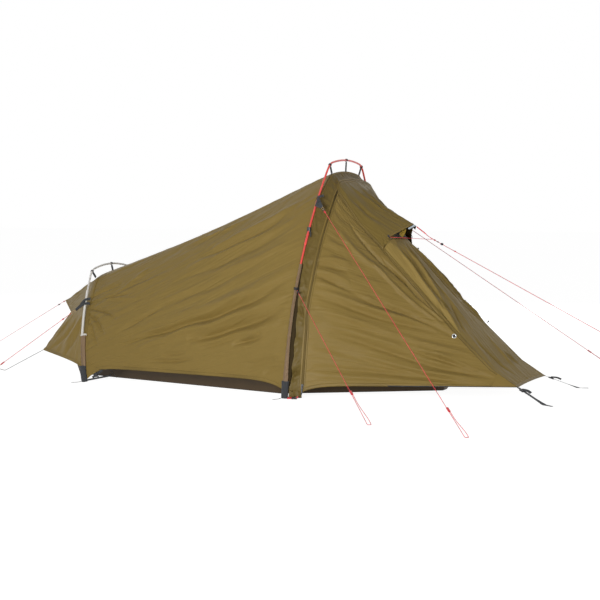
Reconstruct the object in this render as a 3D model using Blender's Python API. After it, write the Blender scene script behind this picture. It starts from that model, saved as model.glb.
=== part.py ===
"""One-person ridge tent: two bent hoop poles, an outer tent hung from them, and its inner tent.

Metres, +Z up. The origin is on the ground under the tall hoop and +X points to the front end.
The cloth is symmetric about the plane y = 0. The door, with its zip, is on the -Y side.
"""
from math import atan2, cos, pi, radians, sin

import bmesh
import bpy
from mathutils import Vector

# Cloth and fits
fabric_thickness = 0.0008
seam_setback = 0.00045      # each panel stops this far short of the line of its seam
seat_gap = 0.0003           # between two pieces that rest on each other
slide_gap = 0.0004          # round a cord or a strap that runs through a piece
socket_gap = 0.0004         # round a pole in its ferrule
sleeve_gap = 0.0008         # round a pole in its sleeve or pocket
seam_gap = 0.0007           # from a sleeve to the cloth that it is sewn along

# Poles
pole_diameter = 0.0095
ferrule_diameter = 0.0125
ferrule_length = 0.055
socket_depth = 0.045
pole_tip_height = 0.013     # lowest point of a pole inside its pocket
pole_sides = 10
main_station = 0.060        # rise of each straight run that makes up a bowed leg
foot_station = 0.040
station_margin = 0.0005     # a station nearer than this to a leg's end is left out
ferrule_step = 0.002        # from a ferrule's end to the first ring of the pole

# Tall hoop
main_x = -0.040
main_lean = 0.05            # metres forward for each metre up
main_half_width = 0.594
main_elbow_half = 0.199
main_elbow_height = 1.079
main_apex = 1.100
main_bow = 2.2              # exponent of the leg's bow
main_joint_height = 0.700   # where the leg plugs into the bow
main_cloth_elbow_height = 1.030
main_cloth_apex = 1.045
main_inset_from = 0.90      # the cloth hangs free of the pole above this height
main_inset_rate = 1.2
main_sleeve_top = 0.610
main_web_height = 0.905

# Foot hoop
foot_x = -1.202
foot_lean = -0.233
foot_half_width = 0.469
foot_elbow_half = 0.200
foot_elbow_height = 0.545
foot_apex = 0.573
foot_bow = 1.65
foot_joint_height = 0.400
foot_cloth_elbow_height = 0.494
foot_cloth_apex = 0.530
foot_inset_from = 0.30
foot_inset_rate = 0.42
foot_sleeve_top = 0.225
foot_web_height = 0.385

elbow_radius = 0.030

# Sleeves and pole pockets, as flattened tubes round the poles
sleeve_half_width = 0.0135
sleeve_wall = 0.0020
pocket_half_width = 0.0170
pocket_wall = 0.0020
pocket_height = 0.080
pocket_floor = 0.010

# Rows of cloth, shared by panels that meet along a seam
leg_rows = 14               # from the hem to the elbow of a hoop
top_rows = 4                # from the elbow to the ridge
foot_side_rows = 10         # of the leg rows, those below the foot hood
mouth_rows = 4              # of the seam rows, those beside the hood
foot_hood_rows = 5
main_columns = 22
door_columns = 20
far_columns = 8
foot_side_columns = 5
foot_end_columns = 6

# Main section
hem_end_height = 0.030
hem_lift = 0.046            # of the hem between the poles
hem_lift_bow = 8
ridge_sag = 0.024
side_sag = 0.010
main_fold_depth = 0.006

# Front cone: the arch is the line of the zip, given by its place along the tent, how far it is inside
# the tall hoop and its height. The seam runs from its head down to the front corner
arch_base = (0.040, 0.0169)
arch_bend = (0.046, 0.0194, 0.420)
arch_shoulder = (0.055, 0.0362, 0.686)
arch_neck = (0.065, 0.0557, 0.902)
arch_head = (0.066, 0.0685, 0.950)
arch_corner = (0.062, 0.0872, 0.990)
arch_top = (0.060, 0.0, 1.003)
seam_upper = (0.172, -0.205, 0.790)
wing_foot = (0.287, -0.200, 0.675)
seam_middle = (0.473, -0.220, 0.490)
seam_lower = (0.655, -0.236, 0.305)
seam_heel = (0.835, -0.240, 0.125)
front_corner = (0.955, -0.238, 0.062)
door_hem_height = 0.060
door_hem_bow = 16           # exponent of the hem's drop to the foot of the zip
crown_share = 0.93          # the cone's sides stop this far up their last row, short of the hood
door_fold_depth = 0.007
front_hem_arch = 0.020
mouth_corner = (0.299, -0.150, 0.731)
hood_tip = (0.366, 0.0, 0.790)
front_panel_peak = (0.310, 0.0, 0.725)

# Foot end
foot_tip = (-1.629, 0.0, 0.367)
foot_mouth_corner = (-1.500, -0.140, 0.320)
foot_panel_peak = (-1.505, 0.0, 0.300)
foot_corner = (-1.610, -0.240, 0.122)
foot_hem_middle = (-1.282, -0.420, 0.093)
foot_end_hem = (-1.590, 0.0, 0.110)

# Vents
vent_inset = 0.006          # from the end of the seam, where three panels meet
vent_seat = 0.0013          # below the middle of the hood's cloth
stiffener_width = 0.016
stiffener_thickness = 0.0015
stiffener_reach = 0.060

# Zip
zip_width = 0.006
zip_thickness = 0.0018
zip_standoff = 0.0006
slider_wall = 0.0014
slider_length = 0.014
slider_height = 0.030       # up the zip from the hem
zip_straight_height = 0.336 # the zip keeps one facing below this
pull_length = 0.032
pull_width = 0.006
pull_thickness = 0.0014

# Inner tent
tub_height = 0.100
tub_seam_height = 0.0016    # the walls' lower edge, just over the floor's
tub_lean = 0.050
tub_foot_end = -1.420
tub_foot_half = 0.180
tub_shoulder_x = -1.194
tub_shoulder_half = 0.236
tub_widest_x = -0.120
tub_widest_half = 0.452
tub_nose_x = 0.530
tub_nose_half = 0.030
inner_arches = ((-1.430, 0.340), (-1.194, 0.470), (-0.592, 0.720), (0.010, 0.990), (0.182, 0.693),
                (0.353, 0.416), (0.540, 0.178))  # place along the tent, and height
inner_top_half = 0.140
inner_top_share = 0.45      # of the half width at the tub, where the tent is narrow
inner_shoulder_drop = 0.025
inner_bow = 2.2
inner_side_rows = 5

# Webbing
web_thickness = 0.0015
hanger_width = 0.010
hook_turn = radians(215)
guy_web_width = 0.014
guy_web_straight = 0.082    # from the pole to the eye
eye_radius = 0.006
eye_start = radians(-90)
eye_sweep = radians(295)
strap_width = 0.015
strap_thickness = 0.0012
strap_flat = 0.045
strap_end = (1.100, -0.320)
adjuster_length = 0.022
adjuster_wall = 0.0022
adjuster_place = 0.030      # from the corner, at rest
strap_bend = 0.004          # from the end of its slope to its flat end
base_strap_height = 0.0016
base_strap_gap = 0.0012     # from the tub's wall
hem_strap_seat = (0.0, 0.0017, -0.0010)      # its upper end, from the hem's line
hem_strap_foot = (0.050, -0.035, 0.0070)     # its lower end, from the tub's near foot corner
hem_strap_width = 0.012
hem_strap_column = 3        # of the hem's points, the one that it hangs from

# Lines
line_diameter = 0.0026
thin_line_diameter = 0.0020
runner_length = 0.022
runner_half_width = 0.0060
runner_half_depth = 0.0036
runner_offset = 0.0025      # the runner's middle lies beside the strand that it grips
peg_loop_radius = 0.009
peg_turn = ((0.012, 0.004), (0.012, 0.012), (-0.004, 0.014))  # past the peg and beside it
upper_peg = (1.047, -1.294)
upper_runner_place = 0.8975  # share of the way from the pole to the peg
lower_peg = (0.596, -1.162)
lower_runner_place = 0.785
lower_line_height = 0.500
foot_peg = (-1.740, -0.600)
foot_runner_place = 0.760
foot_centre_peg = -2.300
front_peg = (1.800, 0.160)
bridle_join = (0.467, 0.0, 0.718)
foot_cord_ground = (-1.860, -0.235)
foot_cord_tail = (-1.940, -0.185)


def lerp(a, b, t):
    return a + (b - a) * t


def mirrored(p):
    """The same point or direction on the tent's other side."""
    return Vector((p.x, -p.y, p.z))


def far(points):
    return [mirrored(p) for p in points]


def resample(points, count):
    """Points at count equal steps along a line of straight runs."""
    lengths = [0.0]
    for a, b in zip(points, points[1:]):
        lengths.append(lengths[-1] + (b - a).length)
    result = []
    run = 0
    for step in range(count + 1):
        want = lengths[-1] * step / count
        while run < len(points) - 2 and lengths[run + 1] < want:
            run += 1
        share = (want - lengths[run]) / (lengths[run + 1] - lengths[run])
        result.append(lerp(points[run], points[run + 1], min(1.0, share)))
    return result


def smooth(points, steps):
    """A smooth curve through the points, with this many steps from each to the next."""
    ends = [points[0] * 2 - points[1]] + points + [points[-1] * 2 - points[-2]]
    curve = []
    for a, b, c, d in zip(ends, ends[1:], ends[2:], ends[3:]):
        for step in range(steps):
            t = step / steps
            curve.append(0.5 * ((2 * b) + (c - a) * t + (2 * a - 5 * b + 4 * c - d) * t ** 2
                                + (3 * b - a - 3 * c + d) * t ** 3))
    return curve + [points[-1]]


def material(name, colour, roughness, metallic=0.0):
    made = bpy.data.materials.new(name)
    made.use_nodes = True
    shader = made.node_tree.nodes["Principled BSDF"]
    shader.inputs["Base Color"].default_value = (*colour, 1.0)
    shader.inputs["Roughness"].default_value = roughness
    shader.inputs["Metallic"].default_value = metallic
    made.diffuse_color = (*colour, 1.0)
    return made


def add_object(name, data, finish):
    """Links a mesh or a curve as a named object, with a material of its own."""
    data.materials.append(material(name, *finish))
    made = bpy.data.objects.new(name, data)
    bpy.context.scene.collection.objects.link(made)
    return made


def set_origin(piece, place):
    """Puts the object's origin on a point without moving its mesh in the world."""
    for vertex in piece.data.vertices:
        vertex.co -= place
    piece.location = place


def loft(name, rings, finish, closed=False, origin=None):
    """A solid through rings of equal counts: a tube with two caps, or closed on itself."""
    shape = bmesh.new()
    rows = [[shape.verts.new(p) for p in ring] for ring in rings]
    pairs = list(zip(rows, rows[1:]))
    if closed:
        pairs.append((rows[-1], rows[0]))
    for low, high in pairs:
        for i in range(len(low)):
            j = (i + 1) % len(low)
            shape.faces.new((low[i], low[j], high[j], high[i]))
    if not closed:
        shape.faces.new(rows[0])
        shape.faces.new(rows[-1])
    bmesh.ops.recalc_face_normals(shape, faces=shape.faces)
    mesh = bpy.data.meshes.new(name)
    shape.to_mesh(mesh)
    shape.free()
    mesh.shade_smooth()
    mesh.set_sharp_from_angle(angle=radians(40))
    piece = add_object(name, mesh, finish)
    if origin is not None:
        set_origin(piece, origin)
    return piece


def tangents(points):
    result = []
    for i in range(len(points)):
        ahead = points[min(i + 1, len(points) - 1)]
        behind = points[max(i - 1, 0)]
        result.append((ahead - behind).normalized())
    return result


def ring(centre, along, side, half_side, half_out, sides):
    """An ellipse square to a path, with one half axis along side."""
    across = (side - along * side.dot(along)).normalized()
    out = along.cross(across)
    turns = [2 * pi * (i + 0.5) / sides for i in range(sides)]
    return [centre + across * half_side * cos(a) + out * half_out * sin(a) for a in turns]


def ribbon(name, path, across, width, thickness, finish, origin=None):
    """A flat strap along a path. across gives its width's direction, one or one per point."""
    widths = across if isinstance(across, list) else [across] * len(path)
    rings = []
    for centre, along, side in zip(path, tangents(path), widths):
        flat = (side - along * side.dot(along)).normalized() * width / 2
        up = along.cross(flat).normalized() * thickness / 2
        rings.append([centre + flat + up, centre - flat + up, centre - flat - up, centre + flat - up])
    return loft(name, rings, finish, origin=origin)


def coons(bottom, top, left, right):
    """A grid of points over four edges. bottom and top run along, left and right up."""
    columns = len(bottom) - 1
    rows = len(left) - 1
    grid = []
    for j in range(rows + 1):
        v = j / rows
        line = []
        for i in range(columns + 1):
            u = i / columns
            ruled = lerp(bottom[i], top[i], v) + lerp(left[j], right[j], u)
            corners = lerp(lerp(bottom[0], bottom[-1], u), lerp(top[0], top[-1], u), v)
            line.append(ruled - corners)
        grid.append(line)
    return grid


def grid_normal(grid, j, i):
    """The direction square to a grid at a point: columns' direction crossed with rows'."""
    along = grid[j][min(i + 1, len(grid[j]) - 1)] - grid[j][max(i - 1, 0)]
    up = grid[min(j + 1, len(grid) - 1)][i] - grid[max(j - 1, 0)][i]
    return along.cross(up).normalized()


def displaced(grid, depth):
    """The grid moved square to itself by depth(u, v), which is nothing at its edges."""
    rows = len(grid) - 1
    columns = len(grid[0]) - 1
    return [[grid[j][i] + grid_normal(grid, j, i) * depth(i / columns, j / rows)
             for i in range(columns + 1)] for j in range(rows + 1)]


def set_back(grid):
    """Pulls all four edges of a grid back from their seams."""
    moved = [[p.copy() for p in line] for line in grid]
    for j in range(len(grid)):
        for i, inner in ((0, 1), (-1, -2)):
            moved[j][i] += (grid[j][inner] - grid[j][i]).normalized() * seam_setback
    for i in range(len(grid[0])):
        for j, inner in ((0, 1), (-1, -2)):
            moved[j][i] += (grid[inner][i] - grid[j][i]).normalized() * seam_setback
    return moved


def cloth(name, grid, finish):
    """A sheet of cloth with its thickness, over a grid of points."""
    mesh = bpy.data.meshes.new(name)
    width = len(grid[0])
    faces = [(j * width + i, j * width + i + 1, (j + 1) * width + i + 1, (j + 1) * width + i)
             for j in range(len(grid) - 1) for i in range(width - 1)]
    mesh.from_pydata([p for line in set_back(grid) for p in line], [], faces)
    mesh.shade_smooth()
    thicken(add_object(name, mesh, finish))


def thicken(piece):
    layer = piece.modifiers.new("Cloth thickness", "SOLIDIFY")
    layer.thickness = fabric_thickness
    layer.offset = 0.0
    layer.use_even_offset = False


def cord(name, points, diameter, finish):
    """A round cord along a line of points. It lies on the ground where they would dip into it."""
    curve = bpy.data.curves.new(name, "CURVE")
    curve.dimensions = "3D"
    spline = curve.splines.new("POLY")
    spline.points.add(len(points) - 1)
    for knot, place in zip(spline.points, points):
        knot.co = (place.x, place.y, max(place.z, diameter / 2), 1.0)
    curve.bevel_depth = diameter / 2
    curve.bevel_resolution = 2
    curve.use_fill_caps = True
    curve.use_path = False
    return add_object(name, curve, finish)


olive = ((0.255, 0.178, 0.053), 0.62)
brown = ((0.195, 0.118, 0.065), 0.70)
tub_brown = ((0.048, 0.032, 0.017), 0.55)
inner_cloth = ((0.330, 0.270, 0.160), 0.80)
netting = ((0.030, 0.026, 0.018), 0.90)
webbing = ((0.022, 0.023, 0.026), 0.80)
red_pole = ((0.800, 0.065, 0.050), 0.35, 0.4)
pale_pole = ((0.790, 0.760, 0.720), 0.40)
red_line = ((0.680, 0.075, 0.095), 0.70)
red_plastic = ((0.650, 0.030, 0.040), 0.40)
black_plastic = ((0.020, 0.020, 0.022), 0.45)
black_coil = ((0.030, 0.030, 0.028), 0.60)
pale_plastic = ((0.580, 0.640, 0.700), 0.45)


class Hoop:
    """One hoop pole in its leaning plane, and the edge of the cloth that hangs on it."""

    def __init__(self, x, lean, half_width, elbow_half, elbow_height, apex, bow, station, cloth_line):
        self.station = station
        self.cloth_elbow, self.cloth_apex, self.inset_from, self.inset_rate = cloth_line
        self.x = x
        self.lean = lean
        self.half_width = half_width
        self.elbow_half = elbow_half
        self.elbow_height = elbow_height
        self.apex = apex
        self.bow = bow
        self.side = Vector((1.0, 0.0, -lean)).normalized()

    def at(self, y, z):
        return Vector((self.x + self.lean * z, y, z))

    def half(self, z):
        return self.half_width - (self.half_width - self.elbow_half) * (z / self.elbow_height) ** self.bow

    def slope(self, z):
        step = 0.001
        return (self.half(z + step) - self.half(z)) / step

    def leg(self, low, high):
        """The near leg's centre line between two heights, in runs shared by all that follow it."""
        first = int(low / self.station) + 1
        last = int((high - station_margin) / self.station)
        between = [i * self.station for i in range(first, last + 1)
                   if i * self.station - low > station_margin]
        return [self.at(-self.half(z), z) for z in [low] + between + [high]]

    def bow_route(self, low):
        """The centre line from a height on the near leg over the top to the far leg."""
        turn = self.elbow_height - elbow_radius
        start = self.at(-self.half(turn), turn)
        corner = self.at(-self.elbow_half, self.elbow_height)
        inner = self.elbow_half - elbow_radius
        end = self.at(-inner, self.top(inner))
        elbow = [lerp(lerp(start, corner, t), lerp(corner, end, t), t) for t in (0.25, 0.5, 0.75)]
        top = [self.at(-inner * (1 - i / 4), self.top(inner * (1 - i / 4))) for i in range(5)]
        near = self.leg(low, turn) + elbow + top
        return near + far(near[:-1])[::-1]

    def top(self, y):
        return self.apex - (self.apex - self.elbow_height) * (y / self.elbow_half) ** 2

    def elbow(self):
        """The middle of the rounded near elbow."""
        turn = self.elbow_height - elbow_radius
        inner = self.elbow_half - elbow_radius
        ends = self.at(-self.half(turn), turn) + self.at(-inner, self.top(inner))
        return ends * 0.25 + self.at(-self.elbow_half, self.elbow_height) * 0.5

    def cloth_half(self, z):
        square = (sleeve_depth + seam_gap + fabric_thickness / 2) * (1 + self.slope(z) ** 2) ** 0.5
        return self.half(z) - square - self.inset_rate * max(0.0, z - self.inset_from) ** 1.5

    def cloth_edge(self):
        """The near half of the cloth's edge, from the hem to the ridge."""
        heights = [lerp(hem_end_height, self.cloth_elbow, i / 60) for i in range(61)]
        leg = [self.at(-self.cloth_half(z), z) for z in heights]
        half = -leg[-1].y
        rise = self.cloth_apex - self.cloth_elbow
        top = []
        for i in range(top_rows + 1):
            share = 1 - i / top_rows
            top.append(self.at(-half * share, self.cloth_apex - rise * share ** 2))
        return resample(leg, leg_rows) + top[1:]


pole_radius = pole_diameter / 2
socket_radius = pole_radius + socket_gap
sleeve_radius = pole_radius + sleeve_gap
sleeve_depth = sleeve_radius + sleeve_wall
pocket_depth = sleeve_radius + pocket_wall

main = Hoop(main_x, main_lean, main_half_width, main_elbow_half, main_elbow_height, main_apex, main_bow,
            main_station, (main_cloth_elbow_height, main_cloth_apex, main_inset_from, main_inset_rate))
foot = Hoop(foot_x, foot_lean, foot_half_width, foot_elbow_half, foot_elbow_height, foot_apex, foot_bow,
            foot_station, (foot_cloth_elbow_height, foot_cloth_apex, foot_inset_from, foot_inset_rate))


def straight_leg(name, hoop, joint_height, finish, flip):
    """A pole section from its pocket up to the bottom of the bow's socket."""
    top = joint_height + socket_depth - socket_gap
    route = hoop.leg(pole_tip_height, top)
    if flip:
        route = far(route)
    rings = [ring(p, t, hoop.side, pole_radius, pole_radius, pole_sides)
             for p, t in zip(route, tangents(route))]
    return loft(name, rings, finish)


def bow(name, hoop, joint_height, finish):
    """The bent middle of a hoop, with a ferrule at each end that takes a leg."""
    near_end = hoop.leg(joint_height, joint_height + ferrule_length)
    near_socket = hoop.leg(joint_height, joint_height + socket_depth)[::-1]
    route = hoop.bow_route(joint_height + ferrule_length + ferrule_step)
    ferrule = ferrule_diameter / 2

    def end_rings(socket, outside, back):
        inner_along = [t * back for t in tangents(socket)]
        outer_along = [t * -back for t in tangents(outside)]
        bores = [ring(p, t, hoop.side, socket_radius, socket_radius, pole_sides)
                 for p, t in zip(socket, inner_along)]
        shells = [ring(p, t, hoop.side, ferrule, ferrule, pole_sides)
                  for p, t in zip(outside, outer_along)]
        return bores + shells

    start = end_rings(near_socket, near_end, -1.0)
    middle = [ring(p, t, hoop.side, pole_radius, pole_radius, pole_sides)
              for p, t in zip(route, tangents(route))]
    end = end_rings(far(near_socket), far(near_end), 1.0)[::-1]
    return loft(name, start + middle + end, finish)


def sleeve(name, hoop, top, flip):
    """A flattened tube of brown cloth that the pole slides through."""
    route = hoop.leg(pocket_height + 2 * seat_gap, top)
    if flip:
        route = far(route)
    outer = [ring(p, t, hoop.side, sleeve_half_width, sleeve_depth, 12)
             for p, t in zip(route, tangents(route))]
    inner = [ring(p, t, hoop.side, sleeve_radius, sleeve_radius, 12)
             for p, t in zip(route, tangents(route))]
    return loft(name, outer + inner[::-1], brown, closed=True)


def pocket(name, hoop, flip):
    """The webbing cup that the pole's tip stands in, with a flat underside."""
    route = hoop.leg(pocket_floor, pocket_height)
    if flip:
        route = far(route)
    along = tangents(route)
    outer = [ring(p, t, hoop.side, pocket_half_width, pocket_depth, 12) for p, t in zip(route, along)]
    inner = [ring(p, t, hoop.side, sleeve_radius, sleeve_radius, 12) for p, t in zip(route, along)]
    base = hoop.at(route[0].y, 0.0)
    base.y = hoop.half(0.0) if flip else -hoop.half(0.0)
    sole = [Vector((p.x, p.y, 0.0)) for p in ring(base, Vector((0, 0, 1)), hoop.side,
                                                  pocket_half_width, pocket_depth, 12)]
    return loft(name, inner + outer[::-1] + [sole], webbing)


def hanger(name, place, along, cloth_point):
    """A webbing strap from the cloth up to a hook over the pole."""
    drop = cloth_point - place
    down = (drop - along * drop.dot(along)).normalized()
    side = along.cross(down).normalized()
    hook = pole_radius + seat_gap + web_thickness / 2
    reach = drop.dot(down) - fabric_thickness / 2 - 2 * seat_gap
    path = [place + side * hook + down * reach, place + side * hook + down * reach * 0.5]
    for i in range(9):
        turn = hook_turn * i / 8
        path.append(place + side * hook * cos(turn) - down * hook * sin(turn))
    ribbon(name, path, along, hanger_width, web_thickness, webbing)


def hangers(prefix, hoop, cloth_edge):
    elbow = hoop.elbow()
    route = hoop.bow_route(hoop.elbow_height * 0.8)
    nearest = min(range(len(route)), key=lambda i: (route[i] - elbow).length)
    along = tangents(route)[nearest]
    cloth_elbow = cloth_edge[leg_rows]
    hanger(prefix + "_hanger_near", elbow, along, cloth_elbow)
    hanger(prefix + "_hanger_far", mirrored(elbow), mirrored(along), mirrored(cloth_elbow))
    crown = hoop.at(0.0, hoop.apex)
    hanger(prefix + "_hanger_centre", crown, Vector((0, 1, 0)), cloth_edge[-1])


def guy_direction(hoop, height, peg):
    """The pole's centre at a height, the way to a peg on the ground, and the pole's direction."""
    anchor = hoop.at(-hoop.half(height), height)
    way = (Vector((*peg, line_diameter / 2)) - anchor).normalized()
    along = hoop.at(-hoop.half(height + 0.01), height + 0.01) - anchor
    return anchor, way, along.normalized()


def guy_web(name, hoop, height, peg, flip):
    """Webbing from the seam round the outside of the pole to an eye. Gives the near line's start."""
    anchor, way, along = guy_direction(hoop, height, peg)
    front = 1.0 if way.x > 0 else -1.0
    side = (hoop.side * front - along * along.dot(hoop.side * front)).normalized()
    out = Vector((0, -1, 0))
    out = (out - along * out.dot(along)).normalized()
    wrap = pole_radius + seat_gap + web_thickness / 2
    low = height - guy_web_width / 2
    slant = (1 + hoop.slope(low) ** 2) ** 0.5
    depth = (hoop.half(low) - hoop.cloth_half(low)) / slant - fabric_thickness / 2 - 3 * seam_gap
    path = [anchor - side * wrap - out * depth]
    leave = atan2(way.dot(side), way.dot(out))
    for i in range(5):
        turn = leave * i / 4
        path.append(anchor - side * wrap * cos(turn) + out * wrap * sin(turn))
    across = [along] * len(path)
    flat = (along - way * along.dot(way)).normalized()
    up = flat.cross(way).normalized()
    if up.dot(out) > 0:
        up = -up
    path += [path[-1] + way * guy_web_straight * 0.5, path[-1] + way * guy_web_straight]
    eye = path[-1] + up * eye_radius
    for i in range(1, 10):
        turn = eye_start + eye_sweep * i / 9
        path.append(eye + way * eye_radius * cos(turn) + up * eye_radius * sin(turn))
    across += [flat] * (len(path) - len(across))
    if flip:
        path = far(path)
        across = far(across)
    ribbon(name, path, across, guy_web_width, web_thickness, webbing)
    return eye + way * (eye_radius + web_thickness / 2 + seat_gap)


def guy_line(name, runner_name, start, peg, runner_place, flip):
    """A taut line from its fitting to the peg, round the peg and back up to its runner."""
    end = Vector((*peg, line_diameter / 2))
    way = (end - start).normalized()
    length = (end - start).length
    beside = Vector((0, 0, 1)).cross(way).normalized()
    runner_at = start + way * length * runner_place
    spread = runner_offset * 2
    loop = end - way * peg_loop_radius
    route = [start + way * (length * share) for share in (0, 0.12, 0.35, 0.6, 0.8, 0.93)]
    route.append(lerp(route[-1], loop, 0.6))
    middle = loop + beside * peg_loop_radius
    level = Vector((way.x, way.y, 0)).normalized()
    for turn in (-60, -20, 20, 60):
        angle = radians(turn)
        bend = middle + beside * peg_loop_radius * sin(angle) + level * peg_loop_radius * cos(angle)
        route.append(Vector((bend.x, bend.y, line_diameter / 2)))
    back = runner_at + beside * spread + way * (runner_length / 2 + seat_gap)
    route += [lerp(back, middle + beside * peg_loop_radius, 0.85), lerp(back, middle, 0.4), back]
    points = smooth(route, 2)
    if flip:
        points = far(points)
    cord(name, points, line_diameter, red_line)
    runner(runner_name, runner_at, way, beside, flip)


def runner(name, place, way, beside, flip):
    """The plastic runner on a guy line, with a bore for the strand that it slides on."""
    rings = []
    for shift in (-0.5, 0.5):
        centre = place + way * runner_length * shift
        rings.append(ring(centre + beside * runner_offset, way, beside,
                          runner_half_width, runner_half_depth, 12))
    bore = line_diameter / 2 + slide_gap
    for shift in (0.5, -0.5):
        centre = place + way * runner_length * shift
        rings.append(ring(centre, way, beside, bore, bore, 12))
    if flip:
        rings = [far(points) for points in rings]
        place = mirrored(place)
    loft(name, rings, red_plastic, closed=True, origin=place)


def arch_point(along, inside, height):
    """A near point of the arch, which keeps its distance from the tall hoop."""
    return Vector((along, inside - main.half(height), height))


def arch_line():
    """The near half of the zip's arch, with its lower part straight, from the hem to the top."""
    base = arch_point(*arch_base, hem_end_height)
    bend = arch_point(*arch_bend)
    head = arch_point(*arch_head)
    low = [lerp(base, bend, share) for share in (0, 0.35, 0.7, 1.0)]
    leg = smooth(low + [arch_point(*arch_shoulder), arch_point(*arch_neck), head], 10)
    top = smooth([head, arch_point(*arch_corner), Vector(arch_top)], 10)
    return resample(leg, leg_rows) + resample(top, top_rows)[1:]


def front_seam():
    """The near front seam from the arch down to the front corner."""
    upper = [arch_point(*arch_head), Vector(seam_upper), Vector(wing_foot)]
    lower = [Vector(wing_foot), Vector(seam_middle), Vector(seam_lower), Vector(seam_heel),
             Vector(front_corner)]
    return resample(upper, mouth_rows) + resample(lower, leg_rows - mouth_rows)[1:]


def hem_line(start, end):
    """The near hem of the main section: down at both poles and lifted between them."""
    line = []
    for i in range(main_columns + 1):
        u = i / main_columns
        p = lerp(start, end, u)
        p.z += hem_lift * (1 - abs(2 * u - 1) ** hem_lift_bow)
        line.append(p)
    return line


def main_folds(u, v):
    """Long shallow folds that fan out from the foot hoop's webbing towards the tall hoop."""
    fade = sin(pi * u) ** 0.7 * sin(pi * min(1.0, v * 1.25)) if v < 0.8 else 0.0
    rise = (v - 0.62) / (0.25 + 0.75 * (1 - u))
    sag = -side_sag * sin(pi * u) * sin(pi * v)
    return sag + main_fold_depth * fade * sin(9.0 * rise + 4.0 * u)


def door_folds(u, v):
    """Folds that leave the zip almost level and turn down to the front corner."""
    fade = sin(pi * u) ** 0.7 * sin(pi * v)
    return door_fold_depth * fade * sin(15.0 * (v + 0.28 * u * (1 - v)) + 2.0)


def no_folds(u, v):
    return 0.0


def main_panel(name, foot_edge, main_edge, columns, folds, flip):
    """The long side of the outer tent, from the foot hoop to the tall hoop."""
    hem = hem_line(foot_edge[0], main_edge[0])
    hem = [hem[round(i * main_columns / columns)] for i in range(columns + 1)]
    ridge = []
    for i in range(columns + 1):
        u = i / columns
        p = lerp(foot_edge[-1], main_edge[-1], u)
        p.z -= ridge_sag * 4 * u * (1 - u)
        ridge.append(p)
    grid = displaced(coons(hem, ridge, foot_edge, main_edge), folds)
    if flip:
        grid = [far(line)[::-1] for line in grid]
    cloth(name, grid, olive)


def hoop_band(main_edge, arch):
    """The strip over the tent between the tall hoop's seam and the zip's arch."""
    rear = main_edge + far(main_edge[:-1])[::-1]
    front = arch + far(arch[:-1])[::-1]
    grid = [[a, lerp(a, b, 0.5), b] for a, b in zip(rear, front)]
    cloth("hoop_band", grid, olive)


def side_of_cone(name, arch, seam, columns, folds, flip):
    """One side of the front cone: the door near, a fixed panel far."""
    zip_edge = arch[:leg_rows + 1]
    free_edge = seam[::-1]
    hem = []
    for i in range(columns + 1):
        u = i / columns
        p = lerp(zip_edge[0], free_edge[0], u)
        drop = (door_hem_height - zip_edge[0].z) * (1 - u) ** door_hem_bow
        p.z = lerp(door_hem_height, free_edge[0].z, u) - drop
        hem.append(p)
    crown = lerp(zip_edge[-2], zip_edge[-1], crown_share)
    crown_seam = lerp(free_edge[-2], free_edge[-1], crown_share)
    zip_edge = zip_edge[:-1] + [crown]
    free_edge = free_edge[:-1] + [crown_seam]
    top = [lerp(crown, crown_seam, i / columns) for i in range(columns + 1)]
    grid = displaced(coons(hem, top, zip_edge, free_edge), folds)
    if flip:
        grid = [far(line)[::-1] for line in grid]
    cloth(name, grid, olive)


def mouth_line(corner_foot, corner, tip, steps):
    """A hood's front edge: up the wing from its foot, then along to the tip, and mirrored."""
    near = [corner_foot] + [lerp(corner, tip, i / steps) for i in range(steps + 1)]
    return near + far(near[:-1])[::-1]


def hood(arch, seam):
    """The beak over the front vent."""
    over = arch[leg_rows:] + far(arch[leg_rows:-1])[::-1]
    mouth = mouth_line(Vector(wing_foot), Vector(mouth_corner), Vector(hood_tip), top_rows - 1)
    near = seam[:mouth_rows + 1]
    grid = coons(over, mouth, near, far(near))
    cloth("hood", grid, olive)
    return grid


def front_panel(seam):
    """The narrow sloping front of the cone, between the two front seams."""
    columns = 2 * top_rows
    near = seam[mouth_rows:]
    peak = Vector(front_panel_peak)
    foot_of_wing = Vector(wing_foot)
    corner = Vector(front_corner)
    top = []
    hem = []
    for i in range(columns + 1):
        share = 2 * i / columns - 1
        bowed = lerp(foot_of_wing, peak, 1 - share ** 2)
        bowed.y = -foot_of_wing.y * share
        top.append(bowed)
        arch = front_hem_arch * (1 - share ** 2)
        hem.append(Vector((corner.x - arch * 1.5, -corner.y * share, corner.z + arch)))
    grid = coons(hem, top, near[::-1], far(near[::-1]))
    cloth("front_panel", grid, olive)
    return top


def vent(name, under, below):
    """Netting from a panel's top edge up to the underside of a hood."""
    top = [p.copy() for p in under]
    bottom = [p.copy() for p in below]
    for line in (top, bottom):
        line[0] += (line[1] - line[0]).normalized() * vent_inset
        line[-1] += (line[-2] - line[-1]).normalized() * vent_inset
    rows = 3
    grid = [[lerp(a, b, j / rows) for a, b in zip(bottom, top)] for j in range(rows + 1)]
    cloth(name, grid, netting)


def under_grid(grid, row, step, inward):
    """Points just under one row of a hood's grid."""
    return [grid[row][i] + grid_normal(grid, row, i) * inward * vent_seat
            for i in range(0, len(grid[row]), step)]


def foot_hood(foot_edge):
    """The small beak over the foot vent."""
    near = foot_edge[foot_side_rows:]
    over = near + far(near[:-1])[::-1]
    across = len(near) - 1
    corner = Vector(foot_mouth_corner)
    mouth = [lerp(corner, Vector(foot_tip), i / across) for i in range(across + 1)]
    mouth += far(mouth[:-1])[::-1]
    side = [lerp(near[0], corner, j / foot_hood_rows) for j in range(foot_hood_rows + 1)]
    grid = coons(over, mouth, side, far(side))
    cloth("foot_hood", [line[::-1] for line in grid], olive)
    return grid


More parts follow.
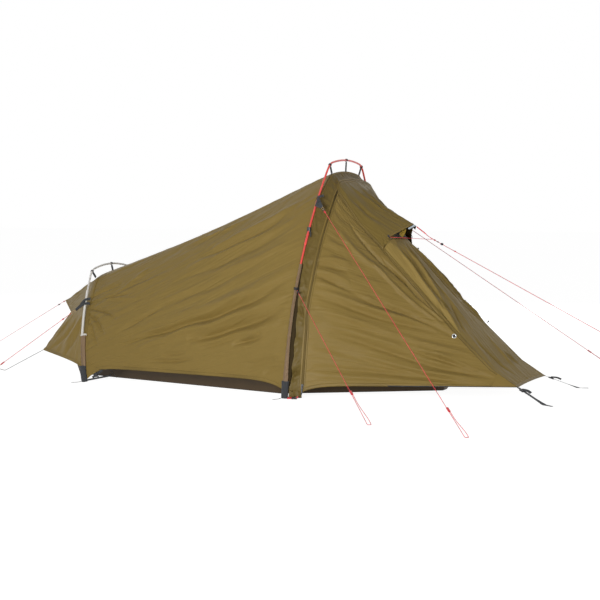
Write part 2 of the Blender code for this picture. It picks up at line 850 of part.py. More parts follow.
def foot_panel(foot_edge):
    """The foot end below its hood: near side, end and far side in one."""
    near = foot_edge[:foot_side_rows + 1]
    rows = foot_side_rows
    mouth = Vector(foot_mouth_corner)
    corner = Vector(foot_corner)
    side_top = [lerp(near[-1], mouth, i / foot_side_columns) for i in range(foot_side_columns + 1)]
    hem = smooth([near[0], Vector(foot_hem_middle), corner], 10)
    side_hem = resample(hem, foot_side_columns)
    seam = [lerp(corner, mouth, j / rows) for j in range(rows + 1)]
    side = coons(side_hem, side_top, near, seam)
    end_top = []
    end_hem = []
    for i in range(foot_end_columns + 1):
        share = 2 * i / foot_end_columns - 1
        top = lerp(mouth, Vector(foot_panel_peak), 1 - share ** 2)
        top.y = -mouth.y * share
        end_top.append(top)
        low = lerp(corner, Vector(foot_end_hem), 1 - share ** 2)
        low.y = -corner.y * share
        end_hem.append(low)
    end = coons(end_hem, end_top, seam, far(seam))
    grid = [a[:-1] + b[:-1] + far(a)[::-1] for a, b in zip(side, end)]
    cloth("foot_panel", [line[::-1] for line in grid], olive)
    return end_top


def stiffener():
    """The stiff batten along the front edge of the hood at its tip."""
    tip = Vector(hood_tip)
    corner = Vector(mouth_corner)
    slope = (tip - Vector(arch_top)).normalized()
    along = (corner - tip).normalized()
    near = [tip + along * stiffener_reach, tip + along * stiffener_reach * 0.5]
    reach = stiffener_width / 2 + seat_gap
    path = [p + slope * reach for p in near + [tip] + far(near)[::-1]]
    ribbon("hood_stiffener", path, slope, stiffener_width, stiffener_thickness, pale_plastic)


def zip_frames(arch, seam):
    """Points on the zip's line, just proud of the cloth, and the way out from the cloth."""
    line = arch[:leg_rows]
    outs = []
    for i in range(len(line)):
        along = (arch[i + 1] - arch[max(i - 1, 0)]).normalized()
        forward = (seam[::-1][i] - line[i]).normalized()
        door_out = forward.cross(along).normalized()
        back = Vector((1.0, 0.0, 0.0)).cross(along).normalized()
        outs.append((door_out + back).normalized())
    straight = sum(p.z < zip_straight_height for p in line)
    outs[:straight] = [outs[1]] * straight
    return line, outs


def zip_and_slider(arch, seam):
    """The coil zip along the door's edge, and its slider with a pull."""
    line, outs = zip_frames(arch, seam)
    rise = fabric_thickness / 2 + zip_standoff + zip_thickness / 2
    path = [p + out * rise for p, out in zip(line, outs)]
    across = [t.cross(out) for t, out in zip(tangents(path), outs)]
    ribbon("zip_chain", path, across, zip_width, zip_thickness, black_coil)
    along = (path[2] - path[0]).normalized()
    out = (outs[1] - along * outs[1].dot(along)).normalized()
    side = along.cross(out)
    place = path[0] + along * slider_height
    inner_half = zip_width / 2 + slide_gap
    outer_half = inner_half + slider_wall
    low = -zip_thickness / 2
    roof = zip_thickness / 2 + slide_gap
    lid = roof + slider_wall
    outline = [(-outer_half, low), (-inner_half, low), (-inner_half, roof), (inner_half, roof),
               (inner_half, low), (outer_half, low), (outer_half, lid), (-outer_half, lid)]
    rings = []
    for shift in (-0.5, 0.5):
        centre = place + along * slider_length * shift
        rings.append([centre + side * a + out * b for a, b in outline])
    body = loft("zip_slider", rings, black_plastic, origin=place)
    root = place + out * (lid - pull_thickness * 0.3)
    pull = [root, root + out * pull_thickness * 1.5 - along * pull_length * 0.2,
            root + out * pull_thickness - along * pull_length]
    tab = ribbon("zip_pull_shape", pull, side, pull_width, pull_thickness, black_plastic)
    tab.hide_render = True
    tab.display_type = "WIRE"
    union = body.modifiers.new("Pull", "BOOLEAN")
    union.operation = "UNION"
    union.object = tab


def tub_outline(out):
    """The near half of the tub's plan, widened by out, from the foot end to the nose."""
    return [Vector((tub_foot_end - out, -tub_foot_half - out * 0.5, 0)),
            Vector((tub_shoulder_x, -tub_shoulder_half - out, 0)),
            Vector((lerp(tub_shoulder_x, tub_widest_x, 0.5),
                    -lerp(tub_shoulder_half, tub_widest_half, 0.5) - out, 0)),
            Vector((tub_widest_x, -tub_widest_half - out, 0)),
            Vector((lerp(tub_widest_x, tub_nose_x, 0.5) + out * 0.3,
                    -lerp(tub_widest_half, tub_nose_half, 0.5) - out * 0.8, 0)),
            Vector((tub_nose_x + out, -tub_nose_half - out * 0.5, 0))]


def tub():
    """The waterproof floor, and its wall turned up and out all round."""
    low_near = tub_outline(0.0)
    high_near = tub_outline(tub_lean)
    low = low_near + far(low_near)[::-1]
    high = high_near + far(high_near)[::-1]
    count = len(low)
    floor = bpy.data.meshes.new("tub_floor")
    floor.from_pydata([Vector((p.x, p.y, fabric_thickness / 2)) for p in low], [], [tuple(range(count))])
    thicken(add_object("tub_floor", floor, tub_brown))
    bottom = [Vector((p.x, p.y, tub_seam_height)) for p in low]
    top = [Vector((p.x, p.y, tub_height)) for p in high]
    faces = [(i, count + i, count + (i + 1) % count, (i + 1) % count) for i in range(count)]
    wall = bpy.data.meshes.new("tub_wall")
    wall.from_pydata(bottom + top, [], faces)
    thicken(add_object("tub_wall", wall, tub_brown))


def inner_canopy():
    """The breathable inner tent: one shell over the tub, closed at both ends."""
    base_height = tub_height + 2 * seam_setback
    outline = tub_outline(tub_lean)
    plan = [(p.x, -p.y) for p in outline]

    def half_at(x):
        for (x0, h0), (x1, h1) in zip(plan, plan[1:]):
            if x <= x1:
                return lerp(h0, h1, (x - x0) / (x1 - x0))
        return plan[-1][1]

    rows = []
    ends = []
    columns = 2 * inner_side_rows + 4
    for x, half in (plan[0], plan[-1]):
        ends.append([Vector((x, lerp(-half, half, i / columns), base_height)) for i in range(columns + 1)])
    rows.append(ends[0])
    for x, height in inner_arches:
        base = half_at(x)
        top = min(inner_top_half, base * inner_top_share)
        side = []
        for i in range(inner_side_rows + 1):
            t = i / inner_side_rows
            y = base - (base - top) * t ** inner_bow
            z = lerp(base_height, height - inner_shoulder_drop, t)
            side.append(Vector((x, -y, z)))
        side.append(Vector((x, -top * 0.5, height - inner_shoulder_drop * 0.25)))
        ridge = [Vector((x, 0, height))]
        rows.append(side + ridge + far(side)[::-1])
    rows.append(ends[1])
    cloth("inner_canopy", rows, inner_cloth)


def corner_strap(suffix, flip):
    """The peg strap at a front corner, and the adjuster that slides along it."""
    corner = Vector(front_corner)
    end = Vector((*strap_end, strap_thickness / 2))
    way = (end - corner).normalized()
    start = corner + way * seat_gap
    level = Vector((way.x, way.y, 0)).normalized()
    across = Vector((0, 0, 1)).cross(level)
    path = [start, lerp(start, end, 0.5), lerp(start, end, 0.93), end + level * strap_bend,
            end + level * strap_flat]
    place = start + way * adjuster_place
    normal = way.cross(across).normalized()
    inner = (strap_width / 2 + slide_gap, strap_thickness / 2 + slide_gap)
    outer = (inner[0] + adjuster_wall * 1.4, inner[1] + adjuster_wall)
    rings = []
    for half_width, half_depth, shift in ((*outer, -0.5), (*outer, 0.5), (*inner, 0.5), (*inner, -0.5)):
        centre = place + way * adjuster_length * shift
        rings.append([centre + across * a * half_width + normal * b * half_depth
                      for a, b in ((-1, -1), (1, -1), (1, 1), (-1, 1))])
    if flip:
        path = far(path)
        across = mirrored(across)
        rings = [far(points) for points in rings]
        place = mirrored(place)
    ribbon("corner_strap_" + suffix, path, across, strap_width, strap_thickness, webbing)
    loft("strap_adjuster_" + suffix, rings, black_plastic, closed=True, origin=place)


def ground_straps(foot_edge, main_edge):
    """The straps that tie the foot hoop's pockets and the hem to the corners of the tub."""
    shoulder = Vector((tub_shoulder_x, -tub_shoulder_half, 0.0))
    pocket_side = Vector((foot_x, -foot_half_width + pocket_depth + 2 * seat_gap, base_strap_height))
    flare = (tub_widest_half - tub_shoulder_half) / (tub_widest_x - tub_shoulder_x)
    end = shoulder + Vector((0, -base_strap_gap - flare * strap_width / 2, base_strap_height))
    path = [pocket_side, lerp(pocket_side, end, 0.5), end]
    for suffix, line in (("near", path), ("far", far(path))):
        ribbon("foot_base_strap_" + suffix, line, Vector((1, 0, 0)), strap_width,
               strap_thickness, webbing)
    hem = hem_line(foot_edge[0], main_edge[0])[hem_strap_column]
    top = hem + Vector(hem_strap_seat)
    foot_of_strap = shoulder + Vector(hem_strap_foot)
    along = (foot_of_strap - top).normalized()
    across = along.cross(Vector((0, 1, 0))).normalized()
    ribbon("hem_strap_near", [top, lerp(top, foot_of_strap, 0.5), foot_of_strap], across,
           hem_strap_width, strap_thickness, webbing)


def round_peg(peg, heading):
    """A line's end, turned round the place of its peg. heading is 1 towards +X and -1 towards -X."""
    return [peg + Vector((past * heading, beside, 0)) for past, beside in peg_turn]


def front_lines():
    """The bridle from the hood's corner and the line from its tip to the front peg."""
    slope = (Vector(hood_tip) - Vector(arch_top)).normalized()
    tip = Vector(hood_tip) + slope * (stiffener_width + 3 * seat_gap)
    join = Vector(bridle_join)
    peg = Vector((*front_peg, line_diameter / 2))
    route = [tip, lerp(tip, join, 0.5), join] + [lerp(join, peg, share) for share in (0.2, 0.5, 0.8, 0.97)]
    cord("guyline_front", smooth(route + round_peg(peg, 1), 3), line_diameter, red_line)
    corner = Vector(mouth_corner)
    corner += (join - corner).normalized() * 4 * seat_gap
    end = join - (join - corner).normalized() * (line_diameter + seat_gap) * 2
    sag = [corner, lerp(corner, end, 0.33), lerp(corner, end, 0.67), end]
    cord("bridle_near", smooth(sag, 3), thin_line_diameter, red_line)


def foot_lines():
    """The line from the foot hood's tip, and the cord from the near foot corner."""
    tip = Vector(foot_tip) - Vector((2 * seat_gap, 0, 0))
    peg = Vector((foot_centre_peg, 0.0, line_diameter / 2))
    route = [lerp(tip, peg, share) for share in (0, 0.1, 0.4, 0.7, 0.95)]
    cord("guyline_foot_centre", smooth(route + round_peg(peg, -1), 3), thin_line_diameter, red_line)
    corner = Vector(foot_corner) - Vector((2 * seat_gap, 0, 0))
    ground = Vector((*foot_cord_ground, line_diameter / 2))
    tail = Vector((*foot_cord_tail, line_diameter / 2))
    route = [corner, lerp(corner, ground, 0.33), lerp(corner, ground, 0.67), lerp(corner, ground, 0.97),
             lerp(ground, tail, 0.25), lerp(ground, tail, 0.6), tail]
    cord("foot_corner_cord_near", smooth(route, 4), line_diameter, webbing)


def build():
    for old in list(bpy.data.objects):
        bpy.data.objects.remove(old, do_unlink=True)

    main_edge = main.cloth_edge()
    foot_edge = foot.cloth_edge()
    arch = arch_line()
    seam = front_seam()

    for prefix, hoop, joint, top, finish in (
            ("main", main, main_joint_height, main_sleeve_top, red_pole),
            ("foot", foot, foot_joint_height, foot_sleeve_top, pale_pole)):
        for suffix, flip in (("near", False), ("far", True)):
            straight_leg(prefix + "_pole_leg_" + suffix, hoop, joint, finish, flip)
            sleeve(prefix + "_sleeve_" + suffix, hoop, top, flip)
            pocket(prefix + "_pocket_" + suffix, hoop, flip)
        bow(prefix + "_pole_bow", hoop, joint, finish)
    hangers("main", main, main_edge)
    hangers("foot", foot, foot_edge)

    main_panel("main_panel_near", foot_edge, main_edge, main_columns, main_folds, False)
    main_panel("main_panel_far", foot_edge, main_edge, far_columns, no_folds, True)
    hoop_band(main_edge, arch)
    side_of_cone("door_panel", arch, seam, door_columns, door_folds, False)
    side_of_cone("side_panel_far", arch, seam, far_columns, no_folds, True)
    hood_grid = hood(arch, seam)
    panel_top = front_panel(seam)
    vent("front_vent_mesh", under_grid(hood_grid, mouth_rows - 1, 1, 1.0), panel_top)
    stiffener()
    foot_grid = foot_hood(foot_edge)
    end_top = foot_panel(foot_edge)
    step = (len(foot_grid[0]) - 1) // foot_end_columns
    vent("foot_vent_mesh", under_grid(foot_grid, foot_hood_rows - 1, step, -1.0), end_top)
    zip_and_slider(arch, seam)

    tub()
    inner_canopy()
    corner_strap("near", False)
    corner_strap("far", True)
    ground_straps(foot_edge, main_edge)

    for suffix, flip in (("near", False), ("far", True)):
        start = guy_web("main_guy_web_" + suffix, main, main_web_height, upper_peg, flip)
        guy_line("guyline_main_upper_" + suffix, "line_runner_upper_" + suffix, start, upper_peg,
                 upper_runner_place, flip)
        foot_start = guy_web("foot_guy_web_" + suffix, foot, foot_web_height, foot_peg, flip)
    guy_line("guyline_foot_near", "line_runner_foot_near", foot_start, foot_peg, foot_runner_place, False)
    anchor, way, along = guy_direction(main, lower_line_height, lower_peg)
    low_start = anchor + way * (sleeve_half_width + line_diameter / 2 + seat_gap)
    guy_line("guyline_main_lower_near", "line_runner_lower_near", low_start, lower_peg,
             lower_runner_place, False)
    front_lines()
    foot_lines()


build()
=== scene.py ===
"""The look of a one-person ridge tent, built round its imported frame.

Metres, +Z up. +X is the front end and -Y is the side with the door, as in the frame. Cloth, straps
and cords are grids of points. The near side is built, and the far side is its mirror.
"""
import math

import bmesh
import bpy
import numpy as np
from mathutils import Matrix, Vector


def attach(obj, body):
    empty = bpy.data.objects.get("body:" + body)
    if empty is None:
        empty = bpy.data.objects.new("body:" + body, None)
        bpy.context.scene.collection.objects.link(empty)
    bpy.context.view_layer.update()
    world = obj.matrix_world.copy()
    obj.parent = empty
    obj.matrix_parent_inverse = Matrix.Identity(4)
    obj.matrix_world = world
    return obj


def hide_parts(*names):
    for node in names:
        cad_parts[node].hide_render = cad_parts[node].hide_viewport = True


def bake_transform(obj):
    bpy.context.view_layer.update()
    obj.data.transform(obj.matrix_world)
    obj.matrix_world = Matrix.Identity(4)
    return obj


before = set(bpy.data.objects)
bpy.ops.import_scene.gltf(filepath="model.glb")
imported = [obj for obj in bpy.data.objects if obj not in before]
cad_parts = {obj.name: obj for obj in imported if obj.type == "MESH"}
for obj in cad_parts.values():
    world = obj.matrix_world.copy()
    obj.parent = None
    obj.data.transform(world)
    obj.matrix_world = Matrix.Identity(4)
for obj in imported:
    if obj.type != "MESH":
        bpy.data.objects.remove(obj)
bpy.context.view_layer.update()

# Camera, ground and light. The camera stands low in front of the door's side. The studio is white
# all round: a floor that keeps the tent's shadow, four large soft lamps and a pale sky. Only the
# key lamp shows in the cloth's sheen.
film_width, focal_length = 36.0, 84.0  # millimetres
camera_target = Vector((-0.234, 0.0, 0.409))
camera_turn, camera_rise, camera_distance = math.radians(24.6), math.radians(3.86), 6.99
floor_level, floor_reach, floor_glow = -0.0006, 40.0, 0.955
floor_for_light, floor_for_camera = (0.80, 0.80, 0.80, 1), (0.30, 0.30, 0.30, 1)
white = (1, 1, 1, 1)
sky_low, sky_high, sky_fade = 0.34, 0.08, 0.7

back = Vector((math.sin(camera_turn) * math.cos(camera_rise),
               -math.cos(camera_turn) * math.cos(camera_rise), math.sin(camera_rise)))
camera = bpy.data.objects.new("camera", bpy.data.cameras.new("camera"))
camera.data.sensor_width = film_width
camera.data.lens = focal_length
camera.location = camera_target + back * camera_distance
camera.rotation_euler = (-back).to_track_quat("-Z", "Y").to_euler()
bpy.context.scene.collection.objects.link(camera)
bpy.context.scene.camera = camera
bpy.context.scene.view_settings.view_transform = "Standard"

ground = bmesh.new()
bmesh.ops.create_grid(ground, x_segments=1, y_segments=1, size=floor_reach)
for corner in ground.verts:
    corner.co.z = floor_level
floor_mesh = bpy.data.meshes.new("studio_floor")
ground.to_mesh(floor_mesh)
ground.free()
floor = bpy.data.objects.new("studio_floor", floor_mesh)
bpy.context.scene.collection.objects.link(floor)


def add_node(tree, kind, inputs=(), **settings):
    """A shader node. inputs gives each socket its value, or the output that feeds it."""
    node = tree.nodes.new("ShaderNode" + kind)
    for setting, value in settings.items():
        setattr(node, setting, value)
    for socket, value in dict(inputs).items():
        if isinstance(value, bpy.types.NodeSocket):
            tree.links.new(value, node.inputs[socket])
        else:
            node.inputs[socket].default_value = value
    return node


def white_to_camera(tree, lit, backdrop, target):
    """Joins two shaders: one for the light that reaches the tent, one for what shows behind it."""
    ray = add_node(tree, "LightPath")
    passed_on = add_node(tree, "Math", {0: ray.outputs["Is Glossy Ray"],
                                        1: ray.outputs["Is Transmission Ray"]}, operation="MAXIMUM")
    seen = add_node(tree, "Math", {0: ray.outputs["Is Camera Ray"], 1: passed_on.outputs[0]},
                    operation="MAXIMUM")
    mix = add_node(tree, "MixShader", {0: seen.outputs[0], 1: lit.outputs[0],
                                       2: backdrop.outputs[0]})
    tree.links.new(mix.outputs[0], target)


floor_look = bpy.data.materials.new("studio_floor")
floor_look.use_nodes = True
tree = floor_look.node_tree
tree.nodes.clear()
paint = add_node(tree, "BsdfDiffuse", {"Color": floor_for_light})
shadow_catcher = add_node(tree, "BsdfDiffuse", {"Color": floor_for_camera})
glow = add_node(tree, "Emission", {"Strength": floor_glow})
both = add_node(tree, "AddShader", {0: shadow_catcher.outputs[0], 1: glow.outputs[0]})
white_to_camera(tree, paint, both, add_node(tree, "OutputMaterial").inputs["Surface"])
floor_mesh.materials.append(floor_look)

sky = bpy.data.worlds.new("studio")
bpy.context.scene.world = sky
sky.use_nodes = True
tree = sky.node_tree
tree.nodes.clear()
direction = add_node(tree, "TexCoord")
rise = add_node(tree, "SeparateXYZ", {0: direction.outputs["Generated"]})
fade = add_node(tree, "MapRange", {"From Min": 0.0, "From Max": sky_fade, "To Min": sky_low,
                                   "To Max": sky_high, "Value": rise.outputs["Z"]})
ambient = add_node(tree, "Background", {"Color": white, "Strength": fade.outputs[0]})
backdrop = add_node(tree, "Background", {"Color": white, "Strength": 1.0})
white_to_camera(tree, ambient, backdrop, add_node(tree, "OutputWorld").inputs["Surface"])

for name, place, aim, size, watts in (
        ("key_lamp", (0.3, -5.4, 1.3), (-0.2, 0.0, 0.4), 1.5, 172.0),
        ("fill_lamp", (5.4, -2.4, 1.6), (0.2, 0.0, 0.4), 2.4, 45.0),
        ("back_lamp", (-0.9, 5.6, 1.8), (-0.2, 0.0, 0.3), 2.4, 105.0),
        ("foot_lamp", (-6.0, 0.6, 1.7), (-1.0, 0.0, 0.3), 2.4, 48.0)):
    lamp = bpy.data.objects.new(name, bpy.data.lights.new(name, "AREA"))
    lamp.data.size = size
    lamp.data.energy = watts
    lamp.visible_camera = False
    lamp.visible_glossy = name == "key_lamp"
    lamp.location = place
    lamp.rotation_euler = (Vector(aim) - Vector(place)).to_track_quat("-Z", "Y").to_euler()
    bpy.context.scene.collection.objects.link(lamp)


# Guy lines. Braided red line, 2.6 mm thick. Four run taut from a pole to a peg, turn round it and
# come back up to a plastic runner. The front line, its bridle and the foot line are thinner or
# plain, and end round their pegs. A dark cord lies by the foot corner.
both_sides = (("near", -1), ("far", 1))
line_width, thin_line_width = 0.0026, 0.0020
peg_bend = 0.009                # radius of a line's turn round its peg
runner_back = 0.0113            # from a runner's middle to the strand's end at its lower face
runner_strand = 0.005           # from a runner's middle out to the strand that comes back
line_steps, path_steps = 4, 6   # steps of a smooth path between the points it is drawn through
upper_line_start, upper_peg = (0.0604, -0.3767, 0.8571), (1.047, -1.294)
lower_line_start, lower_peg = (-0.0059, -0.5308, 0.4926), (0.596, -1.162)
foot_line_start, foot_side_peg = (-1.3527, -0.3557, 0.3327), (-1.740, -0.600)
upper_runner_share, lower_runner_share, foot_runner_share = 0.8975, 0.785, 0.760  # of the way down
hood_tip = np.array((0.366, 0.0, 0.790))
hood_corner = np.array((0.299, -0.150, 0.731))
arch_top = np.array((0.060, 0.0, 1.003))
bridle_join = np.array((0.467, 0.0, 0.718))
front_peg = np.array((1.800, 0.160, line_width / 2))
foot_tip = np.array((-1.629, 0.0, 0.367))
foot_peg = np.array((-2.300, 0.0, line_width / 2))
foot_corner = np.array((-1.610, -0.240, 0.122))
corner_cord_ground = np.array((-1.860, -0.235, line_width / 2))
corner_cord_end = np.array((-1.940, -0.185, line_width / 2))
any_way = (0.31, 0.17, 0.94)    # a direction that no line runs along


def look(name, colour, roughness, **values):
    """A material with its plain values on the shader's own sockets."""
    made = bpy.data.materials.new(name)
    made.use_nodes = True
    shader = made.node_tree.nodes["Principled BSDF"]
    shader.inputs["Base Color"].default_value = (*colour, 1)
    shader.inputs["Roughness"].default_value = roughness
    for socket, value in values.items():
        shader.inputs[socket.replace("_", " ")].default_value = value
    return made


def add_relief(made, height, metres):
    """Adds a texture's relief to what a material already has."""
    tree = made.node_tree
    normal = tree.nodes["Principled BSDF"].inputs["Normal"]
    inputs = {"Distance": metres, "Height": height}
    if normal.links:
        inputs["Normal"] = normal.links[0].from_socket
    tree.links.new(add_node(tree, "Bump", inputs).outputs[0], normal)


def detail(made, source, kind, scale, tint=0.0, relief=0.0, rough=0.0, turn=0.0, fine=2.0):
    """Adds one layer of surface detail. tint and rough are shares, relief is in metres."""
    tree = made.node_tree
    shader = tree.nodes["Principled BSDF"]
    place = add_node(tree, "TexCoord")
    mapping = add_node(tree, "Mapping", {"Vector": place.outputs[source], "Rotation": (0, 0, turn),
                                         "Scale": scale})
    texture = add_node(tree, "Tex" + kind, {"Vector": mapping.outputs[0], "Scale": 1.0})
    if kind == "Noise":
        texture.inputs["Detail"].default_value = fine
    value = texture.outputs["Fac"]
    if tint:
        base = shader.inputs["Base Color"]
        before = base.links[0].from_socket if base.links else base.default_value[:3]
        shade = add_node(tree, "MapRange", {"To Min": 1 - tint, "To Max": 1 + tint, "Value": value})
        colour = add_node(tree, "VectorMath", {0: before, "Scale": shade.outputs[0]},
                          operation="SCALE")
        tree.links.new(colour.outputs[0], base)
    if relief:
        add_relief(made, value, relief)
    if rough:
        plain = shader.inputs["Roughness"].default_value
        spread = add_node(tree, "MapRange", {"To Min": plain * (1 - rough), "Value": value,
                                             "To Max": min(1.0, plain * (1 + rough))})
        tree.links.new(spread.outputs[0], shader.inputs["Roughness"])


def unit(vector):
    vector = np.asarray(vector, float)
    return vector / np.linalg.norm(vector)


def run_along(path):
    """The distance from a path's start to each of its points."""
    return np.concatenate([[0], np.cumsum(np.linalg.norm(np.diff(path, axis=0), axis=1))])


def path_length(path):
    return float(run_along(path)[-1])


def points_at(at, run, points):
    """The points, or the one point, at these distances along a line of straight runs."""
    return np.stack([np.interp(at, run, points[:, k]) for k in range(3)], axis=-1)


def between(start, end, shares):
    """Points at these shares of the way from start to end."""
    start, end = np.asarray(start, float), np.asarray(end, float)
    return np.array([start + (end - start) * share for share in shares])


def mirrored(points):
    """The same points on the far side."""
    return np.asarray(points, float) * (1, -1, 1)


def on_side(points, side):
    """The same points on the near side (-1) or on the far side (1)."""
    return mirrored(points) if side > 0 else np.asarray(points, float)


def curved(points, steps=path_steps):
    """A smooth path through the points, with this many steps from each to the next."""
    points = np.asarray(points, float)
    ends = np.vstack([2 * points[0] - points[1], points, 2 * points[-1] - points[-2]])
    path = []
    for a, b, c, d in zip(ends, ends[1:], ends[2:], ends[3:]):
        for step in range(steps):
            t = step / steps
            path.append(0.5 * (2 * b + (c - a) * t + (2 * a - 5 * b + 4 * c - d) * t ** 2
                               + (3 * b - a - 3 * c + d) * t ** 3))
    return np.array(path + [points[-1]])


def swept(path, half_wide, half_deep=None, across=None, sides=12, corner=1.0):
    """Rows of points round a path: an oval with one half axis along across.

    Under 1, corner squares it, and over 1 it makes the oval's ends sharper.
    """
    path = np.asarray(path, float)
    along = np.gradient(path, axis=0)
    along /= np.linalg.norm(along, axis=1, keepdims=True)
    if across is None:
        side = np.cross(along[0], any_way)
        sides_along = []
        for direction in along:
            side = unit(side - direction * side.dot(direction))
            sides_along.append(side)
        side = np.array(sides_along)
    else:
        side = np.broadcast_to(np.asarray(across, float), path.shape)
        side = side - along * (side * along).sum(1, keepdims=True)
        side = side / np.linalg.norm(side, axis=1, keepdims=True)
    out = np.cross(along, side)
    half_deep = half_wide if half_deep is None else half_deep
    wide = np.broadcast_to(half_wide, len(path))[:, None]
    deep = np.broadcast_to(half_deep, len(path))[:, None]
    rows = []
    for turn in np.linspace(0, 2 * math.pi, sides + 1):
        c, s = (math.copysign(abs(part) ** corner, part) if abs(part) > 1e-9 else 0.0
                for part in (math.cos(turn), math.sin(turn)))
        rows.append(path + side * wide * c + out * deep * s)
    rows[-1] = rows[0]
    return np.array(rows)


def piece_of(name, points, finish, round_shape=False, body="tent", outside=None):
    """A piece over a grid of points.

    On a round one the first and last rows meet and its ends close. outside is the way that the
    face of an open piece looks.
    """
    rows, columns = points.shape[:2]
    shape = bmesh.new()
    uv = shape.loops.layers.uv.new("UVMap")
    bmesh.ops.create_grid(shape, x_segments=columns - 1, y_segments=rows - 1, size=1.0,
                          calc_uvs=True)
    for vertex in shape.verts:
        i = round((vertex.co.x + 1) / 2 * (columns - 1))
        j = round((vertex.co.y + 1) / 2 * (rows - 1))
        vertex.co = points[j, i]
    wide, tall = path_length(points[rows // 2]), path_length(points[:, columns // 2])
    for face in shape.faces:
        for loop in face.loops:
            loop[uv].uv = (loop[uv].uv.x * wide, loop[uv].uv.y * tall)
    if round_shape:
        bmesh.ops.remove_doubles(shape, verts=shape.verts, dist=1e-6)
        rim = [edge for edge in shape.edges if edge.is_boundary]
        bmesh.ops.holes_fill(shape, edges=rim, sides=0)
        bmesh.ops.recalc_face_normals(shape, faces=shape.faces)
    elif outside is not None:
        shape.normal_update()
        facing = sum((face.normal * face.calc_area() for face in shape.faces), Vector())
        if facing.dot(Vector(outside)) < 0:
            bmesh.ops.reverse_faces(shape, faces=shape.faces)
    mesh = bpy.data.meshes.new(name)
    shape.to_mesh(mesh)
    shape.free()
    mesh.shade_smooth()
    if round_shape:
        mesh.set_sharp_from_angle(angle=math.radians(50))
    mesh.materials.append(finish)
    piece = bpy.data.objects.new(name, mesh)
    bpy.context.scene.collection.objects.link(piece)
    if body:
        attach(piece, body)
    return piece


red_braid = look("red_braid", (0.780, 0.040, 0.055), 0.62, Sheen_Weight=0.2)
detail(red_braid, "UV", "Wave", (95, 260, 1), tint=0.28, relief=0.0002, turn=math.radians(34))
detail(red_braid, "UV", "Wave", (95, 260, 1), tint=0.16, relief=0.0002, turn=math.radians(-34))
detail(red_braid, "Object", "Noise", (9, 9, 9), tint=0.10)
black_braid = look("black_braid", (0.020, 0.021, 0.024), 0.75)
detail(black_braid, "UV", "Wave", (95, 260, 1), tint=0.30, relief=0.0002, turn=math.radians(34))


def line(name, path, node=None, width=line_width, finish=red_braid,
         runner=None):
    """A cord along a path. runner is the body that its end rides on."""
    path[:, 2] = np.maximum(path[:, 2], width / 2)
    cord = piece_of(name, swept(path, width / 2, sides=8), finish, round_shape=True,
                    body=None if runner else "tent")
    if runner:
        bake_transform(cord)
    if node:
        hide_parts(node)


def pegged_line(suffix, node, start, peg, runner_share, side=-1):
    """A line with a runner: a strand to the peg and round it, and a strand back to the runner."""
    start, end = np.array(start), np.array((*peg, line_width / 2))
    way = unit(end - start)
    beside = unit(np.cross((0, 0, 1), way))
    level = unit((way[0], way[1], 0))
    runner_at = start + (end - start) * runner_share
    loop = end - way * peg_bend
    middle = loop + beside * peg_bend
    route = list(between(start, end, (0, 0.12, 0.35, 0.6, 0.8, 0.93)))
    route.append(route[-1] + (loop - route[-1]) * 0.6)
    for angle in np.radians((-60, -20, 20, 60)):
        bend = middle + (beside * math.sin(angle) + level * math.cos(angle)) * peg_bend
        route.append(np.array((bend[0], bend[1], line_width / 2)))
    turned = (len(route) - 1) * line_steps
    back_start = middle + beside * peg_bend
    back_end = runner_at + beside * runner_strand + way * runner_back
    route += [back_end + (back_start - back_end) * 0.85, back_end + (middle - back_end) * 0.4,
              back_end]
    path = curved(route, line_steps)
    path[:, 2] = np.maximum(path[:, 2], line_width / 2)
    path = on_side(path, side)
    line(node + "_strand", path[:turned + 1], node)
    line(node + "_return", path[turned:], node, runner="line_runner_" + suffix)


def round_peg(peg, heading):
    """The last points of a plain line, round its peg."""
    return peg + np.array([(past * heading, beside, 0)
                           for past, beside in ((0.012, 0.004), (0.012, 0.012), (-0.004, 0.014))])


for suffix, side in both_sides:
    pegged_line("upper_" + suffix, "guyline_main_upper_" + suffix, upper_line_start, upper_peg,
                upper_runner_share, side)
pegged_line("lower_near", "guyline_main_lower_near", lower_line_start, lower_peg,
            lower_runner_share)
pegged_line("foot_near", "guyline_foot_near", foot_line_start, foot_side_peg, foot_runner_share)

front_start = hood_tip + unit(hood_tip - arch_top) * 0.0169
line("guyline_front_strand",
     curved(np.vstack([between(front_start, bridle_join, (0, 0.5, 1)),
                       between(bridle_join, front_peg, (0.2, 0.5, 0.8, 0.97)),
                       round_peg(front_peg, 1)])), "guyline_front")
line("front_line_doubling", curved(between(front_start, bridle_join, (0.03, 0.35, 0.7, 0.93))
                                   + (0, -0.0005, -0.0030)))

bridle_start = hood_corner + unit(bridle_join - hood_corner) * 0.0012
bridle_end = bridle_join - unit(bridle_join - bridle_start) * (line_width + 0.0003) * 2
line("bridle_near_strand", curved(between(bridle_start, bridle_end, (0, 0.33, 0.67, 1))),
     "bridle_near", thin_line_width)

sewn_on = np.array((-0.0006, 0, 0))  # a line's first point, just off the cloth that it is sewn to
line("guyline_foot_centre_strand",
     curved(np.vstack([between(foot_tip + sewn_on, foot_peg, (0, 0.1, 0.4, 0.7, 0.95)),
                       round_peg(foot_peg, -1)])), "guyline_foot_centre", thin_line_width)
line("foot_corner_cord_strand",
     curved(np.vstack([between(foot_corner + sewn_on, corner_cord_ground, (0, 0.33, 0.67, 0.97)),
                       between(corner_cord_ground, corner_cord_end, (0.25, 0.6, 1))])),
     "foot_corner_cord_near", finish=black_braid)


# Runners. Moulded red plastic, 22 mm long, with one bore for the line. Each slides on its own
# line, and the frame's own solid shows.
def paint_node(node, finish):
    """Gives a solid of the frame its finish."""
    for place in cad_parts[node].material_slots:
        place.material = finish


